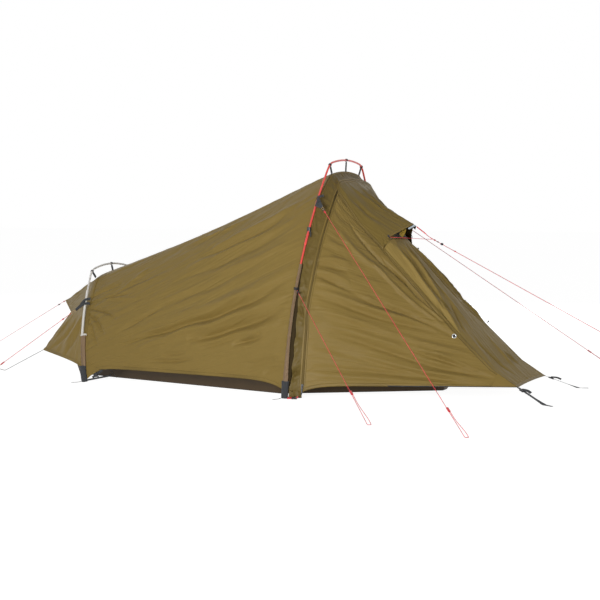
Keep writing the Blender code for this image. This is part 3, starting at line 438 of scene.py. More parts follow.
red_plastic = look("red_plastic", (0.650, 0.030, 0.040), 0.32, Coat_Weight=0.3)
detail(red_plastic, "Object", "Noise", (140, 140, 140), tint=0.08, relief=0.00015, rough=0.25)
for suffix in ("upper_near", "upper_far", "lower_near", "foot_near"):
    paint_node("line_runner_" + suffix, red_plastic)


# Hoop poles. Alloy tubes, 9.5 mm: red for the tall hoop and off-white for the foot hoop. Each hoop
# is a bow with a ferrule at both ends, and two legs, each plugged into a ferrule.
pole_radius, ferrule_radius, ferrule_length = 0.00475, 0.00625, 0.055
ferrule_rim, ferrule_chamfer = 0.0008, 0.0006
elbow_radius = 0.030
leg_tip, leg_seat = 0.013, 0.0015  # a leg's lower end above the ground, and its seat past the joint


class Hoop:
    """A bent pole in its leaning plane, with its legs' bow, its elbows and its shallow crown."""

    def __init__(self, x, lean, half_width, elbow_half, elbow_height, apex, bow, joint):
        self.x, self.lean, self.bow, self.joint = x, lean, bow, joint
        self.half_width, self.elbow_half = half_width, elbow_half
        self.elbow_height, self.apex = elbow_height, apex
        self.side = unit((1, 0, -lean))

    def at(self, y, z):
        return np.array((self.x + self.lean * z, y, z))

    def half(self, z):
        share = (z / self.elbow_height) ** self.bow
        return self.half_width - (self.half_width - self.elbow_half) * share

    def near(self, z):
        """The point of the near leg at this height."""
        return self.at(-self.half(z), z)

    def slope(self, z):
        return (self.half(z + 0.001) - self.half(z)) / 0.001

    def leg(self, low, high, count):
        return np.array([self.near(z) for z in np.linspace(low, high, count)])

    def top(self, y):
        return self.apex - (self.apex - self.elbow_height) * (y / self.elbow_half) ** 2

    def over(self):
        """The bow's line, from its joint with the near leg over to the far one."""
        turn = self.elbow_height - elbow_radius
        start, corner = self.near(turn), self.at(-self.elbow_half, self.elbow_height)
        crown_half = self.elbow_half - elbow_radius
        end = self.at(-crown_half, self.top(crown_half))
        elbow = [start * (1 - t) ** 2 + corner * 2 * t * (1 - t) + end * t ** 2
                 for t in np.linspace(0.1, 0.9, 9)]
        crown = [self.at(-crown_half * share, self.top(crown_half * share))
                 for share in np.linspace(1, 0, 12)]
        near = np.vstack([self.leg(self.joint, turn, 30), elbow, crown])
        return np.vstack([near, mirrored(near[:-1])[::-1]])


tall = Hoop(x=-0.040, lean=0.05, half_width=0.594, elbow_half=0.199, elbow_height=1.079,
            apex=1.100, bow=2.2, joint=0.700)
short = Hoop(x=-1.202, lean=-0.233, half_width=0.469, elbow_half=0.200, elbow_height=0.545,
             apex=0.573, bow=1.65, joint=0.400)

red_tube = look("red_tube", (0.800, 0.065, 0.050), 0.30, Metallic=0.35, Coat_Weight=0.35)
detail(red_tube, "Object", "Noise", (60, 60, 6), tint=0.05, rough=0.3, relief=0.00005)
detail(red_tube, "Object", "Noise", (900, 900, 40), tint=0.05)
pale_tube = look("pale_tube", (0.790, 0.760, 0.720), 0.38, Coat_Weight=0.2)
detail(pale_tube, "Object", "Noise", (70, 70, 8), tint=0.05, rough=0.3, relief=0.00005)
detail(pale_tube, "Object", "Noise", (900, 900, 40), tint=0.04)

for prefix, hoop, finish, slot in (("main", tall, red_tube, "red_tube"),
                                   ("foot", short, pale_tube, "pale_tube")):
    route = hoop.over()
    run = run_along(route)
    stations = np.concatenate([
        [0, ferrule_rim], np.linspace(0.004, ferrule_length - 0.004, 5),
        [ferrule_length - ferrule_rim, ferrule_length],
        np.linspace(ferrule_length + 0.004, run[-1] / 2, 60)])
    stations = np.concatenate([stations, (run[-1] - stations)[::-1][1:]])
    from_end = np.minimum(stations, run[-1] - stations)
    radius = np.where(from_end <= ferrule_length - 0.0005, ferrule_radius, pole_radius)
    radius = np.where(from_end < 0.0005, ferrule_radius - ferrule_chamfer, radius)
    bow = piece_of(prefix + "_bow_tube",
                   swept(points_at(stations, run, route), radius, sides=18, across=hoop.side),
                   finish, round_shape=True)
    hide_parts(prefix + "_pole_bow")
    for suffix, side in both_sides:
        leg = on_side(hoop.leg(leg_tip, hoop.joint + leg_seat, 40), side)
        tube = piece_of(prefix + "_leg_tube_" + suffix,
                        swept(leg, pole_radius, sides=18, across=hoop.side), finish,
                        round_shape=True)
        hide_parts(prefix + "_pole_leg_" + suffix)


# Outer tent. Panels of thin coated nylon, sewn edge to edge: two long sides under the hoops, a band
# over the tall one, a cone of the door, its twin and a narrow front, two hoods and the foot end.
# Tension from the hoops, the zip and the pegged corners draws long creases across each of them.
fabric = 0.0008
seam_gap = 0.00045      # a panel stops this far short of the line of its seam
hem_height = 0.030
fineness = 8            # grid steps for each row and column of the frame's cloth
leg_rows, top_rows, foot_side_rows, mouth_rows = 14, 4, 10, 4
foot_side_columns, foot_end_columns = 5, 6
sleeve_depth, sleeve_seam = 0.00755, 0.0007
fold_depth = 2.8        # how deep all the drawn folds are
outer, inner = 1.0, -1.0  # whether a panel's own facing is its outside


def fine_folds(made, heading, length, width, relief):
    """Soft shallow folds, longer than they are wide, along heading on the piece's own UV map."""
    tree = made.node_tree
    place = add_node(tree, "TexCoord")
    mapping = add_node(tree, "Mapping", {"Vector": place.outputs["UV"], "Rotation": (0, 0, heading),
                                         "Scale": (length, width, 1)}, vector_type="TEXTURE")
    folds = add_node(tree, "TexNoise", {"Vector": mapping.outputs[0], "Scale": 1.0, "Detail": 2.0,
                                        "Distortion": 0.7})
    add_relief(made, folds.outputs["Fac"], relief)


def coated_cloth(name, heading, colour=(0.246, 0.168, 0.045), relief=0.0075, shine=0.17):
    """Thin olive cloth with a silky coating. heading is the way that its fine folds run."""
    made = look(name, colour, 0.47, Specular_IOR_Level=shine, Sheen_Weight=0.03,
                Sheen_Roughness=0.40)
    detail(made, "Object", "Noise", (3.1, 3.1, 3.1), tint=0.05, rough=0.10)
    detail(made, "Object", "Noise", (24, 24, 24), tint=0.035, relief=0.0005, fine=4.0)
    detail(made, "UV", "Wave", (62.8, 62.8, 1), tint=0.018, relief=0.00004)
    detail(made, "UV", "Wave", (62.8, 62.8, 1), tint=0.018, relief=0.00004, turn=math.radians(90))
    detail(made, "UV", "Noise", (1400, 320, 1), tint=0.05, relief=0.00003)
    fine_folds(made, heading, 0.50, 0.040, relief)
    fine_folds(made, heading + 0.12, 0.20, 0.017, 0.0012)
    return made


main_cloth = coated_cloth("main_cloth", 0.22, relief=0.0115)
cone_cloth = coated_cloth("cone_cloth", -0.24)
# The front's copy of the cloth is lighter: painted light.
front_cloth_painted_light = coated_cloth("front_cloth_painted_light", 1.45, (0.318, 0.222, 0.068), shine=0.06)
# The hoods' copy of the cloth is darker: painted shade.
hood_cloth_painted_shade = coated_cloth("hood_cloth_painted_shade", 1.40, (0.206, 0.142, 0.035))
foot_cloth = coated_cloth("foot_cloth", -1.15)
# The band's copy of the cloth is darker: painted shade.
band_cloth_painted_shade = coated_cloth("band_cloth_painted_shade", 0.70, (0.150, 0.104, 0.027))


def spaced(points, count):
    """Points at count equal steps along a line of straight runs."""
    points = np.asarray(points, float)
    run = run_along(points)
    return points_at(np.linspace(0, run[-1], count + 1), run, points)


def coons(bottom, top, left, right):
    """A grid of points over four edges. bottom and top run along, left and right up."""
    u = np.linspace(0, 1, len(bottom))[None, :, None]
    v = np.linspace(0, 1, len(left))[:, None, None]
    ruled = (1 - v) * bottom[None] + v * top[None] + (1 - u) * left[:, None] + u * right[:, None]
    corners = ((1 - v) * ((1 - u) * bottom[0] + u * bottom[-1])
               + v * ((1 - u) * top[0] + u * top[-1]))
    return ruled - corners


def facing_of(grid):
    """The direction square to a grid at each of its points."""
    square = np.cross(np.gradient(grid, axis=1), np.gradient(grid, axis=0))
    return square / np.maximum(np.linalg.norm(square, axis=2, keepdims=True), 1e-12)


def places_on(grid):
    """Each point's share along and up, and the grid's width and height in metres."""
    rows, columns = grid.shape[:2]
    v, u = np.meshgrid(np.linspace(0, 1, rows), np.linspace(0, 1, columns), indexing="ij")
    return u, v, path_length(grid[rows // 2]), path_length(grid[:, columns // 2])


def creased(grid, creases):
    """Height of the drawn folds.

    Each has a share along and up at both ends, and a width and a height in metres.
    """
    u, v, wide, tall = places_on(grid)
    x = u * wide + 0.006 * np.sin(9 * v * tall + 2.0) + 0.003 * np.sin(31 * v * tall)
    y = v * tall + 0.007 * np.sin(7 * u * wide + 1.0) + 0.003 * np.sin(23 * u * wide + 4 * v)
    height = np.zeros_like(u)
    for u0, v0, u1, v1, width, depth in creases:
        ax, ay = u0 * wide, v0 * tall
        dx, dy = u1 * wide - ax, v1 * tall - ay
        length = math.hypot(dx, dy)
        along = ((x - ax) * dx + (y - ay) * dy) / length ** 2
        across = ((x - ax) * dy - (y - ay) * dx) / length
        taper = np.sin(math.pi * np.clip(along, 0, 1)) ** 0.7
        height += depth * taper * np.exp(-np.abs(across / width) ** 1.7)
    return height * fold_depth


def ruffled(grid, seed, height, length, heading, spread=0.35, count=12):
    """Small uneven waves. heading is the way that their crests run."""
    u, v, wide, tall = places_on(grid)
    x, y = u * wide, v * tall
    draw = np.random.RandomState(seed)
    total = np.zeros_like(x)
    for _ in range(count):
        turn = heading + draw.normal(0, spread)
        wave = length * draw.uniform(0.6, 1.7)
        phase, sway = draw.uniform(0, 2 * math.pi, 2)
        across = y * math.cos(turn) - x * math.sin(turn)
        down = x * math.cos(turn) + y * math.sin(turn)
        bent = across + 0.25 * wave * np.sin(2 * math.pi * down / (wave * 5) + sway)
        strength = 0.5 + 0.5 * np.sin(2 * math.pi * down / (wave * 7) + sway * 1.7)
        total += strength * np.sin(2 * math.pi * bent / wave + phase)
    return total * height / math.sqrt(count)


def edge_fade(grid, reach):
    """Nothing on the four seams, rising to 1 at this distance from them."""
    u, v, wide, tall = places_on(grid)
    near = np.minimum(np.minimum(u, 1 - u) * wide, np.minimum(v, 1 - v) * tall)
    share = np.clip(near / reach, 0, 1)
    return share * share * (3 - 2 * share)


def pushed(grid, height, outward=outer):
    """The grid with each point moved square to it by its height."""
    return grid + facing_of(grid) * (height * outward)[..., None]


def set_back(grid):
    """All four edges pulled back from the lines of their seams."""
    moved = grid.copy()
    for a, b in ((0, 1), (-1, -2)):
        step = grid[:, b] - grid[:, a]
        moved[:, a] += step / np.linalg.norm(step, axis=1, keepdims=True) * seam_gap
        step = grid[b] - grid[a]
        moved[a] += step / np.linalg.norm(step, axis=1, keepdims=True) * seam_gap
    return moved


def thicken(piece, thickness):
    """Gives an open piece its thickness, half of it on each side."""
    layer = piece.modifiers.new("thickness", "SOLIDIFY")
    layer.thickness = thickness
    layer.offset = 0.0
    return piece


def sheet(name, grid, finish, outside, replaced=()):
    """A sheet of cloth with its thickness."""
    piece = thicken(piece_of(name, set_back(grid), finish, outside=outside), fabric)
    for node in replaced:
        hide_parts(node)


def panel(name, node, grid, finish, outside, outward, fade, creases, ruffle, drawn=1.0):
    """A panel with its drawn folds and small waves, sewn in place. It gives back its own grid."""
    folds = drawn * creased(grid, creases) + ruffled(grid, *ruffle)
    grid = pushed(grid, edge_fade(grid, fade) * folds, outward)
    sheet(name, grid, finish, outside, replaced=[node])
    return grid


def hoop_edge(hoop, elbow, apex, inset_from, inset_rate):
    """The near half of the cloth's edge beside a hoop, from the hem to the ridge."""
    leg = []
    for z in np.linspace(hem_height, elbow, 241):
        square = (sleeve_depth + sleeve_seam + fabric / 2) * math.sqrt(1 + hoop.slope(z) ** 2)
        leg.append(hoop.at(square - hoop.half(z) + inset_rate * max(0.0, z - inset_from) ** 1.5, z))
    half = -leg[-1][1]
    top = [hoop.at(-half * share, apex - (apex - elbow) * share ** 2)
           for share in np.linspace(1, 0, top_rows * fineness + 1)]
    return np.vstack([spaced(leg, leg_rows * fineness), top[1:]])


def over_to_far(half):
    """A line from the near side to the middle, carried on over to the far side."""
    return np.vstack([half, mirrored(half[:-1])[::-1]])


main_edge = hoop_edge(tall, elbow=1.030, apex=1.045, inset_from=0.90, inset_rate=1.2)
foot_edge = hoop_edge(short, elbow=0.494, apex=0.530, inset_from=0.30, inset_rate=0.42)

seam_head = np.array((0.066, -0.227, 0.950))
wing_foot = np.array((0.287, -0.200, 0.675))
front_corner = np.array((0.955, -0.238, 0.062))
arch_low = between((0.040, -0.577, hem_height), (0.046, -0.525, 0.420), (0, 0.35, 0.7, 1))
arch_leg = curved([*arch_low, (0.055, -0.412, 0.686), (0.065, -0.272, 0.902), seam_head], 12)
arch_crown = curved([seam_head, (0.062, -0.180, 0.990), arch_top], 12)
arch = np.vstack([spaced(arch_leg, leg_rows * fineness),
                  spaced(arch_crown, top_rows * fineness)[1:]])
seam_top = spaced([seam_head, (0.172, -0.205, 0.790), wing_foot], mouth_rows * fineness)
seam_low = spaced([wing_foot, (0.473, -0.220, 0.490), (0.655, -0.236, 0.305),
                   (0.838, -0.240, 0.134), front_corner], (leg_rows - mouth_rows) * fineness)
seam = np.vstack([seam_top, seam_low[1:]])

hem_lift, ridge_sag, side_hollow = 0.046, 0.024, 0.010


def main_side(side):
    """The long side from the foot hoop to the tall hoop, with its hem lifted between them."""
    u = np.linspace(0, 1, 201)[:, None]
    hem = foot_edge[0] + (main_edge[0] - foot_edge[0]) * u
    hem[:, 2:] += hem_lift * (1 - np.abs(2 * u - 1) ** 8)
    ridge = foot_edge[-1] + (main_edge[-1] - foot_edge[-1]) * u
    ridge[:, 2:] -= ridge_sag * 4 * u * (1 - u)
    grid = coons(hem, ridge, foot_edge, main_edge)
    u, v, _, _ = places_on(grid)
    return on_side(pushed(grid, -side_hollow * np.sin(math.pi * u) * np.sin(math.pi * v)), side)


main_creases = [
    (0.245, 0.213, 0.982, 0.389, 0.022, 0.006), (0.312, 0.188, 0.946, 0.343, 0.016, -0.007),
    (0.417, 0.179, 0.960, 0.299, 0.016, 0.006), (0.517, 0.157, 0.960, 0.251, 0.017, -0.0075),
    (0.542, 0.132, 0.950, 0.206, 0.013, 0.005), (0.576, 0.126, 0.831, 0.183, 0.011, -0.006),
    (0.740, 0.135, 0.875, 0.164, 0.008, -0.006), (0.192, 0.254, 0.388, 0.356, 0.010, -0.0035),
    (0.231, 0.209, 0.703, 0.324, 0.012, -0.0045), (0.167, 0.151, 0.466, 0.226, 0.009, -0.003),
    (0.341, 0.046, 0.569, 0.067, 0.007, -0.004), (0.397, 0.085, 0.525, 0.100, 0.006, -0.003),
    (0.814, 0.056, 0.958, 0.080, 0.008, -0.003), (0.899, 0.031, 0.983, 0.060, 0.007, -0.003),
    (0.917, 0.666, 0.558, 0.623, 0.014, 0.0035), (0.913, 0.627, 0.515, 0.586, 0.012, -0.0035),
    (0.901, 0.589, 0.460, 0.554, 0.014, 0.0035), (0.894, 0.557, 0.408, 0.483, 0.014, -0.003),
    (0.946, 0.493, 0.629, 0.467, 0.016, 0.003), (0.708, 0.729, 0.392, 0.718, 0.012, 0.0025),
    (0.005, 0.599, 0.163, 0.616, 0.009, -0.0035), (0.005, 0.548, 0.227, 0.506, 0.008, -0.003),
    (0.005, 0.519, 0.159, 0.345, 0.008, -0.004), (0.005, 0.486, 0.107, 0.246, 0.008, -0.004),
    (0.005, 0.453, 0.073, 0.171, 0.007, -0.0035), (0.005, 0.568, 0.263, 0.443, 0.008, 0.0025),
    (0.275, 0.656, 0.154, 0.557, 0.014, 0.002), (0.828, 0.465, 0.323, 0.342, 0.018, -0.003),
    (0.602, 0.247, 0.245, 0.109, 0.012, 0.003)]
main_near = panel("main_cloth_near", "main_panel_near", main_side(-1), main_cloth, (0, -1, 0.3),
                  outer, 0.022, main_creases, (3, 0.0012, 0.055, 0.24),
                  drawn=1.35)
far_creases = [(u0, v0 * 0.97, u1, v1 * 0.97, width, depth * 0.8)
               for u0, v0, u1, v1, width, depth in main_creases]
main_far = panel("main_cloth_far", "main_panel_far", main_side(1), main_cloth, (0, 1, 0.3), inner,
                 0.035, far_creases, (8, 0.0013, 0.060, 0.24))

# The band over the tall hoop is gathered on to the zip's arch, so it crinkles down its whole
# length. Its copy of the cloth is darker than the other panels: painted shade.
band = between(over_to_far(main_edge), over_to_far(arch), np.linspace(0, 1, 25)).swapaxes(0, 1)
u, v, wide, tall_run = places_on(band)
from_foot = np.minimum(v, 1 - v) * tall_run
low_crinkle = np.clip(1.15 - from_foot / 0.75, 0.25, 1)
zip_hold = np.clip((1 - u) * wide / 0.016, 0, 1) ** 2
draw = np.random.RandomState(12)
gathers = []
for far_half in (False, True):
    for _ in range(46):
        low = draw.uniform(0.015, 0.46)
        high = low + draw.uniform(-0.022, 0.045)
        start, end = draw.uniform(0, 0.35), draw.uniform(0.6, 1.0)
        if far_half:
            low, high = 1 - low, 1 - high
        gathers.append((start, low, end, high, draw.uniform(0.005, 0.010),
                        draw.choice([-1, 1]) * draw.uniform(0.002, 0.0045)))
band = pushed(band, zip_hold * np.sin(math.pi * u) ** 0.6 * (
    low_crinkle * (creased(band, gathers) + ruffled(band, 6, 0.0022, 0.021, 0.5))
    + ruffled(band, 5, 0.0016, 0.030, 1.2)
    - 0.006 * np.sin(math.pi * u) * np.sin(math.pi * v)))
sheet("hoop_band_cloth", band, band_cloth_painted_shade, (0, 0, 1),
      replaced=["hoop_band"])

cone_hem = 0.060        # height of the cone's hem a little way from the hoop
cone_stop = 0.93        # the cone's cloth stops this share of the way into its last row


def stopped_short(edge):
    """The edge with its last row of the frame's cloth cut short."""
    start = edge[-1 - fineness]
    edge[-fineness:] = start + (edge[-1] - start) * cone_stop * (
        np.arange(1, fineness + 1) / fineness)[:, None]
    return edge


def cone_side(side):
    """A side of the front cone, from the zip's line to the front seam."""
    zip_edge = stopped_short(arch[:leg_rows * fineness + 1].copy())
    free_edge = stopped_short(seam[::-1].copy())
    u = np.linspace(0, 1, 151)[:, None]
    hem = zip_edge[0] + (free_edge[0] - zip_edge[0]) * u
    hem[:, 2:] = (cone_hem + (free_edge[0][2] - cone_hem) * u
                  - (cone_hem - hem_height) * (1 - u) ** 16)
    top = zip_edge[-1] + (free_edge[-1] - zip_edge[-1]) * u
    return on_side(coons(hem, top, zip_edge, free_edge), side)


door_creases = [
    (0.000, 0.625, 0.422, 0.618, 0.010, 0.005), (0.000, 0.598, 0.356, 0.569, 0.009, -0.006),
    (0.001, 0.571, 0.357, 0.519, 0.009, 0.005), (0.020, 0.549, 0.686, 0.377, 0.012, -0.007),
    (0.031, 0.519, 0.704, 0.398, 0.010, 0.006), (0.503, 0.451, 0.949, 0.279, 0.012, -0.007),
    (0.061, 0.472, 0.961, 0.290, 0.014, 0.006), (0.069, 0.432, 0.848, 0.283, 0.012, -0.005),
    (0.046, 0.386, 0.709, 0.242, 0.015, 0.005), (0.154, 0.270, 0.965, 0.044, 0.013, -0.006),
    (0.091, 0.308, 0.959, 0.133, 0.016, 0.005), (0.180, 0.177, 0.924, 0.029, 0.012, 0.005),
    (0.041, 0.211, 0.803, 0.027, 0.014, -0.005), (0.045, 0.108, 0.765, 0.038, 0.011, -0.005),
    (0.046, 0.071, 0.654, 0.018, 0.009, 0.004), (0.538, 0.225, 0.952, 0.077, 0.010, -0.006),
    (0.597, 0.261, 0.981, 0.164, 0.010, 0.004), (0.312, 0.778, 0.825, 0.539, 0.020, 0.005),
    (0.615, 0.827, 0.992, 0.497, 0.016, -0.005), (0.878, 0.672, 0.998, 0.321, 0.010, -0.006),
    (0.679, 0.631, 0.942, 0.308, 0.009, 0.005), (0.071, 0.715, 0.460, 0.680, 0.010, 0.003),
    (0.930, 0.455, 1.000, 0.234, 0.010, 0.004), (0.730, 0.191, 0.981, 0.059, 0.008, 0.004)]
door = panel("door_cloth", "door_panel", cone_side(-1), cone_cloth, (0.4, -1, 0.3), outer, 0.022,
             door_creases, (21, 0.0012, 0.050, -0.22))
far_creases = [(u0, v0 * 0.95 + 0.03, u1, v1 * 0.95 + 0.03, width, depth * 0.8)
               for u0, v0, u1, v1, width, depth in door_creases]
far_side = panel("side_cloth_far", "side_panel_far", cone_side(1), cone_cloth, (0.4, 1, 0.3), inner,
                 0.022, far_creases, (22, 0.0013, 0.050, -0.22))

near_seam = seam[:mouth_rows * fineness - 1:-1]
share = np.linspace(-1, 1, 97)[:, None]
peak = np.array((0.310, 0.0, 0.725))
top = wing_foot + (peak - wing_foot) * (1 - np.abs(share) ** np.where(share < 0, 7.0, 1.7))
top[:, 1:2] = -wing_foot[1] * share
hem_arch = 0.003 * (1 - share ** 2)
hem = np.hstack([front_corner[0] - 1.5 * hem_arch, -front_corner[1] * share,
                 front_corner[2] + hem_arch])
front_creases = [
    (0.009, 0.956, 0.010, 0.525, 0.008, -0.006), (0.123, 0.974, 0.052, 0.526, 0.008, 0.006),
    (0.198, 0.966, 0.166, 0.522, 0.008, -0.006), (0.328, 0.974, 0.201, 0.597, 0.009, 0.006),
    (0.441, 0.972, 0.323, 0.580, 0.009, -0.005), (0.128, 0.610, 0.010, 0.412, 0.006, 0.005),
    (0.060, 0.611, 0.020, 0.438, 0.005, -0.005), (0.332, 0.565, 0.081, 0.390, 0.007, -0.004),
    (0.381, 0.835, 0.319, 0.377, 0.016, 0.004), (0.171, 0.345, 0.317, 0.073, 0.016, -0.004),
    (0.681, 0.219, 0.747, 0.125, 0.008, 0.003), (0.579, 0.358, 0.533, 0.044, 0.018, 0.003)]
front_creases += [(1 - u0, v0, 1 - u1, v1, width, depth)
                  for u0, v0, u1, v1, width, depth in front_creases[:8]]
front_face = coons(hem, top, near_seam, mirrored(near_seam))
front_face = panel("front_cloth_painted_light", "front_panel", front_face, front_cloth_painted_light, (1, 0, 1), outer, 0.018,
                   front_creases, (31, 0.0009, 0.045, 1.45))

# The hood is a beak of the same cloth over the front vent, drawn out by the front line and the
# bridle. Its copy of the cloth is darker: painted shade.
over = over_to_far(arch[leg_rows * fineness:])
lip = np.linspace(hood_corner, hood_tip, (top_rows - 1) * fineness + 1)
mouth = over_to_far(np.vstack([np.linspace(wing_foot, hood_corner, fineness + 1), lip[1:]]))
hood_creases = [(0.46, 0.15, 0.47, 0.85, 0.006, 0.003), (0.54, 0.15, 0.53, 0.85, 0.006, 0.003),
                (0.30, 0.10, 0.43, 0.92, 0.012, 0.004), (0.70, 0.10, 0.57, 0.92, 0.012, 0.004),
                (0.36, 0.55, 0.46, 0.95, 0.006, -0.003), (0.64, 0.55, 0.54, 0.95, 0.006, -0.003),
                (0.10, 0.20, 0.20, 0.80, 0.012, -0.003), (0.90, 0.20, 0.80, 0.80, 0.012, -0.003)]
hood_grid = coons(over, mouth, seam_top, mirrored(seam_top))
hood_grid = panel("hood_cloth_painted_shade", "hood", hood_grid, hood_cloth_painted_shade, (0.3, 0, 1), inner, 0.016,
                  hood_creases, (41, 0.0009, 0.030, 1.4))

# The foot end has a smaller beak over its own vent, and one panel round its two sides and its end.
foot_mouth_corner = np.array((-1.500, -0.140, 0.320))
near_top = foot_edge[foot_side_rows * fineness:]
foot_mouth = over_to_far(np.linspace(foot_mouth_corner, foot_tip, len(near_top)))
side_edge = np.linspace(near_top[0], foot_mouth_corner, foot_side_columns * fineness + 1)
beak_creases = [(0.30, 0.10, 0.46, 0.90, 0.010, 0.004), (0.70, 0.10, 0.54, 0.90, 0.010, 0.004),
                (0.16, 0.05, 0.36, 0.85, 0.010, -0.004), (0.84, 0.05, 0.64, 0.85, 0.010, -0.004),
                (0.22, 0.20, 0.30, 0.90, 0.008, 0.003), (0.50, 0.30, 0.50, 0.95, 0.006, 0.003)]
foot_beak = coons(over_to_far(near_top), foot_mouth, side_edge, mirrored(side_edge))
# The beak takes the hoods' darker cloth: painted shade.
foot_beak = panel("foot_hood_cloth", "foot_hood", foot_beak, hood_cloth_painted_shade, (-0.4, 0, 1), outer, 0.018,
                  beak_creases, (43, 0.0012, 0.030, 1.3))

near_low = foot_edge[:foot_side_rows * fineness + 1]
side_hem = spaced(curved([near_low[0], (-1.284, -0.420, 0.083), foot_corner], 10),
                  foot_side_columns * fineness)
corner_seam = np.linspace(foot_corner, foot_mouth_corner, foot_side_rows * fineness + 1)
foot_side = coons(side_hem, side_edge, near_low, corner_seam)
share = np.linspace(-1, 1, foot_end_columns * fineness + 1)[:, None]
end_edges = []
for corner, middle in ((foot_corner, (-1.590, 0, 0.110)), (foot_mouth_corner, (-1.505, 0, 0.300))):
    edge = corner + (np.array(middle) - corner) * (1 - share ** 2)
    edge[:, 1:2] = -corner[1] * share
    end_edges.append(edge)
foot_end = coons(*end_edges, corner_seam, mirrored(corner_seam))
foot_face = np.hstack([foot_side[:, :-1], foot_end[:, :-1], mirrored(foot_side)[:, ::-1]])
foot_creases = [(0.02, 0.90, 0.20, 0.20, 0.010, 0.004), (0.03, 0.75, 0.16, 0.12, 0.010, -0.004),
                (0.10, 0.85, 0.28, 0.10, 0.010, -0.004), (0.20, 0.95, 0.30, 0.30, 0.008, 0.003),
                (0.98, 0.90, 0.80, 0.20, 0.010, 0.004), (0.97, 0.75, 0.84, 0.12, 0.010, -0.004),
                (0.40, 0.80, 0.45, 0.15, 0.012, 0.003), (0.58, 0.80, 0.55, 0.15, 0.012, -0.003)]
foot_face = panel("foot_cloth", "foot_panel", foot_face, foot_cloth, (-1, 0, 0.3), inner, 0.02,
                  foot_creases, (47, 0.0014, 0.040, -1.2))


# Seams, hems and zip. Doubled strips of the same cloth, sewn flat along every edge, with a dark
# strip of painted shade beside the cone's front seams and tape beside the zip's moulded coil.
sewn, beside_zip, bound = 0.0005, 0.0045, 0.0004  # how far in from its edge a strip starts


def edging(name, grid, side, start, width, finish, outward=outer, lift=0.0009, thick=0.0007,
           trim=(0, 1)):
    """A strip of doubled cloth that lies on a panel along one of its edges.

    width is one value or shares along with the width at each, and trim is the part of the edge.
    """
    square = facing_of(grid) * outward
    if side in ("bottom", "top"):
        grid, square = np.swapaxes(grid, 0, 1), np.swapaxes(square, 0, 1)
    if side in ("right", "top"):
        grid, square = grid[:, ::-1], square[:, ::-1]
    first, last = (round(share * (len(grid) - 1)) for share in trim)
    grid, square = grid[first:last + 1], square[first:last + 1]
    at, widths = width if isinstance(width, tuple) else ((0, 1), (width, width))
    widths = np.interp(np.linspace(0, 1, len(grid)), at, widths)
    strip = []
    for share in (0, 0.33, 0.67, 1):
        row = []
        for points, out, reach in zip(grid, square, widths):
            at, run = start + reach * share, run_along(points)
            row.append(points_at(at, run, points) + points_at(at, run, out) * lift)
        strip.append(row)
    thicken(piece_of(name, np.array(strip), finish), thick)


seam_cloth = look("seam_cloth", (0.205, 0.138, 0.032), 0.52, Specular_IOR_Level=0.30)
detail(seam_cloth, "UV", "Wave", (1, 170, 1), tint=0.10, relief=0.00025)
detail(seam_cloth, "UV", "Noise", (60, 130, 1), tint=0.07, relief=0.0004, fine=3.0)
detail(seam_cloth, "Object", "Noise", (24, 24, 24), tint=0.04)
zip_tape = look("zip_tape", (0.070, 0.049, 0.018), 0.80, Specular_IOR_Level=0.20)
detail(zip_tape, "UV", "Wave", (1, 330, 1), tint=0.20, relief=0.0002)

for name, grid, side, start, width, outward in (
        ("seam_tall_rear_near", main_near, "right", sewn, 0.014, outer),
        ("seam_tall_rear_far", main_far, "right", sewn, 0.014, inner),
        ("seam_foot_front_near", main_near, "left", sewn, 0.029, outer),
        ("seam_foot_front_far", main_far, "left", sewn, 0.029, inner),
        ("hem_main_near", main_near, "bottom", sewn, 0.016, outer),
        ("hem_main_far", main_far, "bottom", sewn, 0.016, inner),
        ("seam_ridge_near", main_near, "top", sewn, 0.009, outer),
        ("seam_ridge_far", main_far, "top", sewn, 0.009, inner),
        ("seam_band_rear", band, "left", sewn, 0.011, outer),
        ("seam_band_front", band, "right", beside_zip, 0.010, outer),
        ("seam_door_zip", door, "left", beside_zip, 0.009, outer),
        ("seam_door_front", door, "right", sewn, 0.011, outer),
        ("hem_door", door, "bottom", sewn, 0.016, outer),
        ("seam_side_arch", far_side, "left", sewn, 0.010, inner),
        ("seam_side_front", far_side, "right", sewn, 0.011, inner),
        ("hem_side", far_side, "bottom", sewn, 0.016, inner),
        ("seam_front_near", front_face, "left", sewn, 0.009, outer),
        ("seam_front_far", front_face, "right", sewn, 0.009, outer),
        ("hem_front", front_face, "bottom", sewn, 0.014, outer),
        ("seam_hood_arch", hood_grid, "bottom", sewn, 0.009, inner),
        ("seam_hood_near", hood_grid, "left", sewn, 0.009, inner),
        ("seam_hood_far", hood_grid, "right", sewn, 0.009, inner),
        ("hood_binding", hood_grid, "top", bound, 0.011, inner),
        ("seam_foot_hood", foot_beak, "bottom", sewn, 0.010, outer),
        ("foot_hood_binding", foot_beak, "top", bound, 0.010, outer),
        ("seam_foot_near", foot_face, "left", sewn, 0.012, inner),
        ("seam_foot_far", foot_face, "right", sewn, 0.012, inner),
        ("hem_foot", foot_face, "bottom", sewn, 0.015, inner),
        ("seam_foot_top", foot_face, "top", sewn, 0.009, inner)):
    edging(name, grid, side, start, width, seam_cloth, outward)
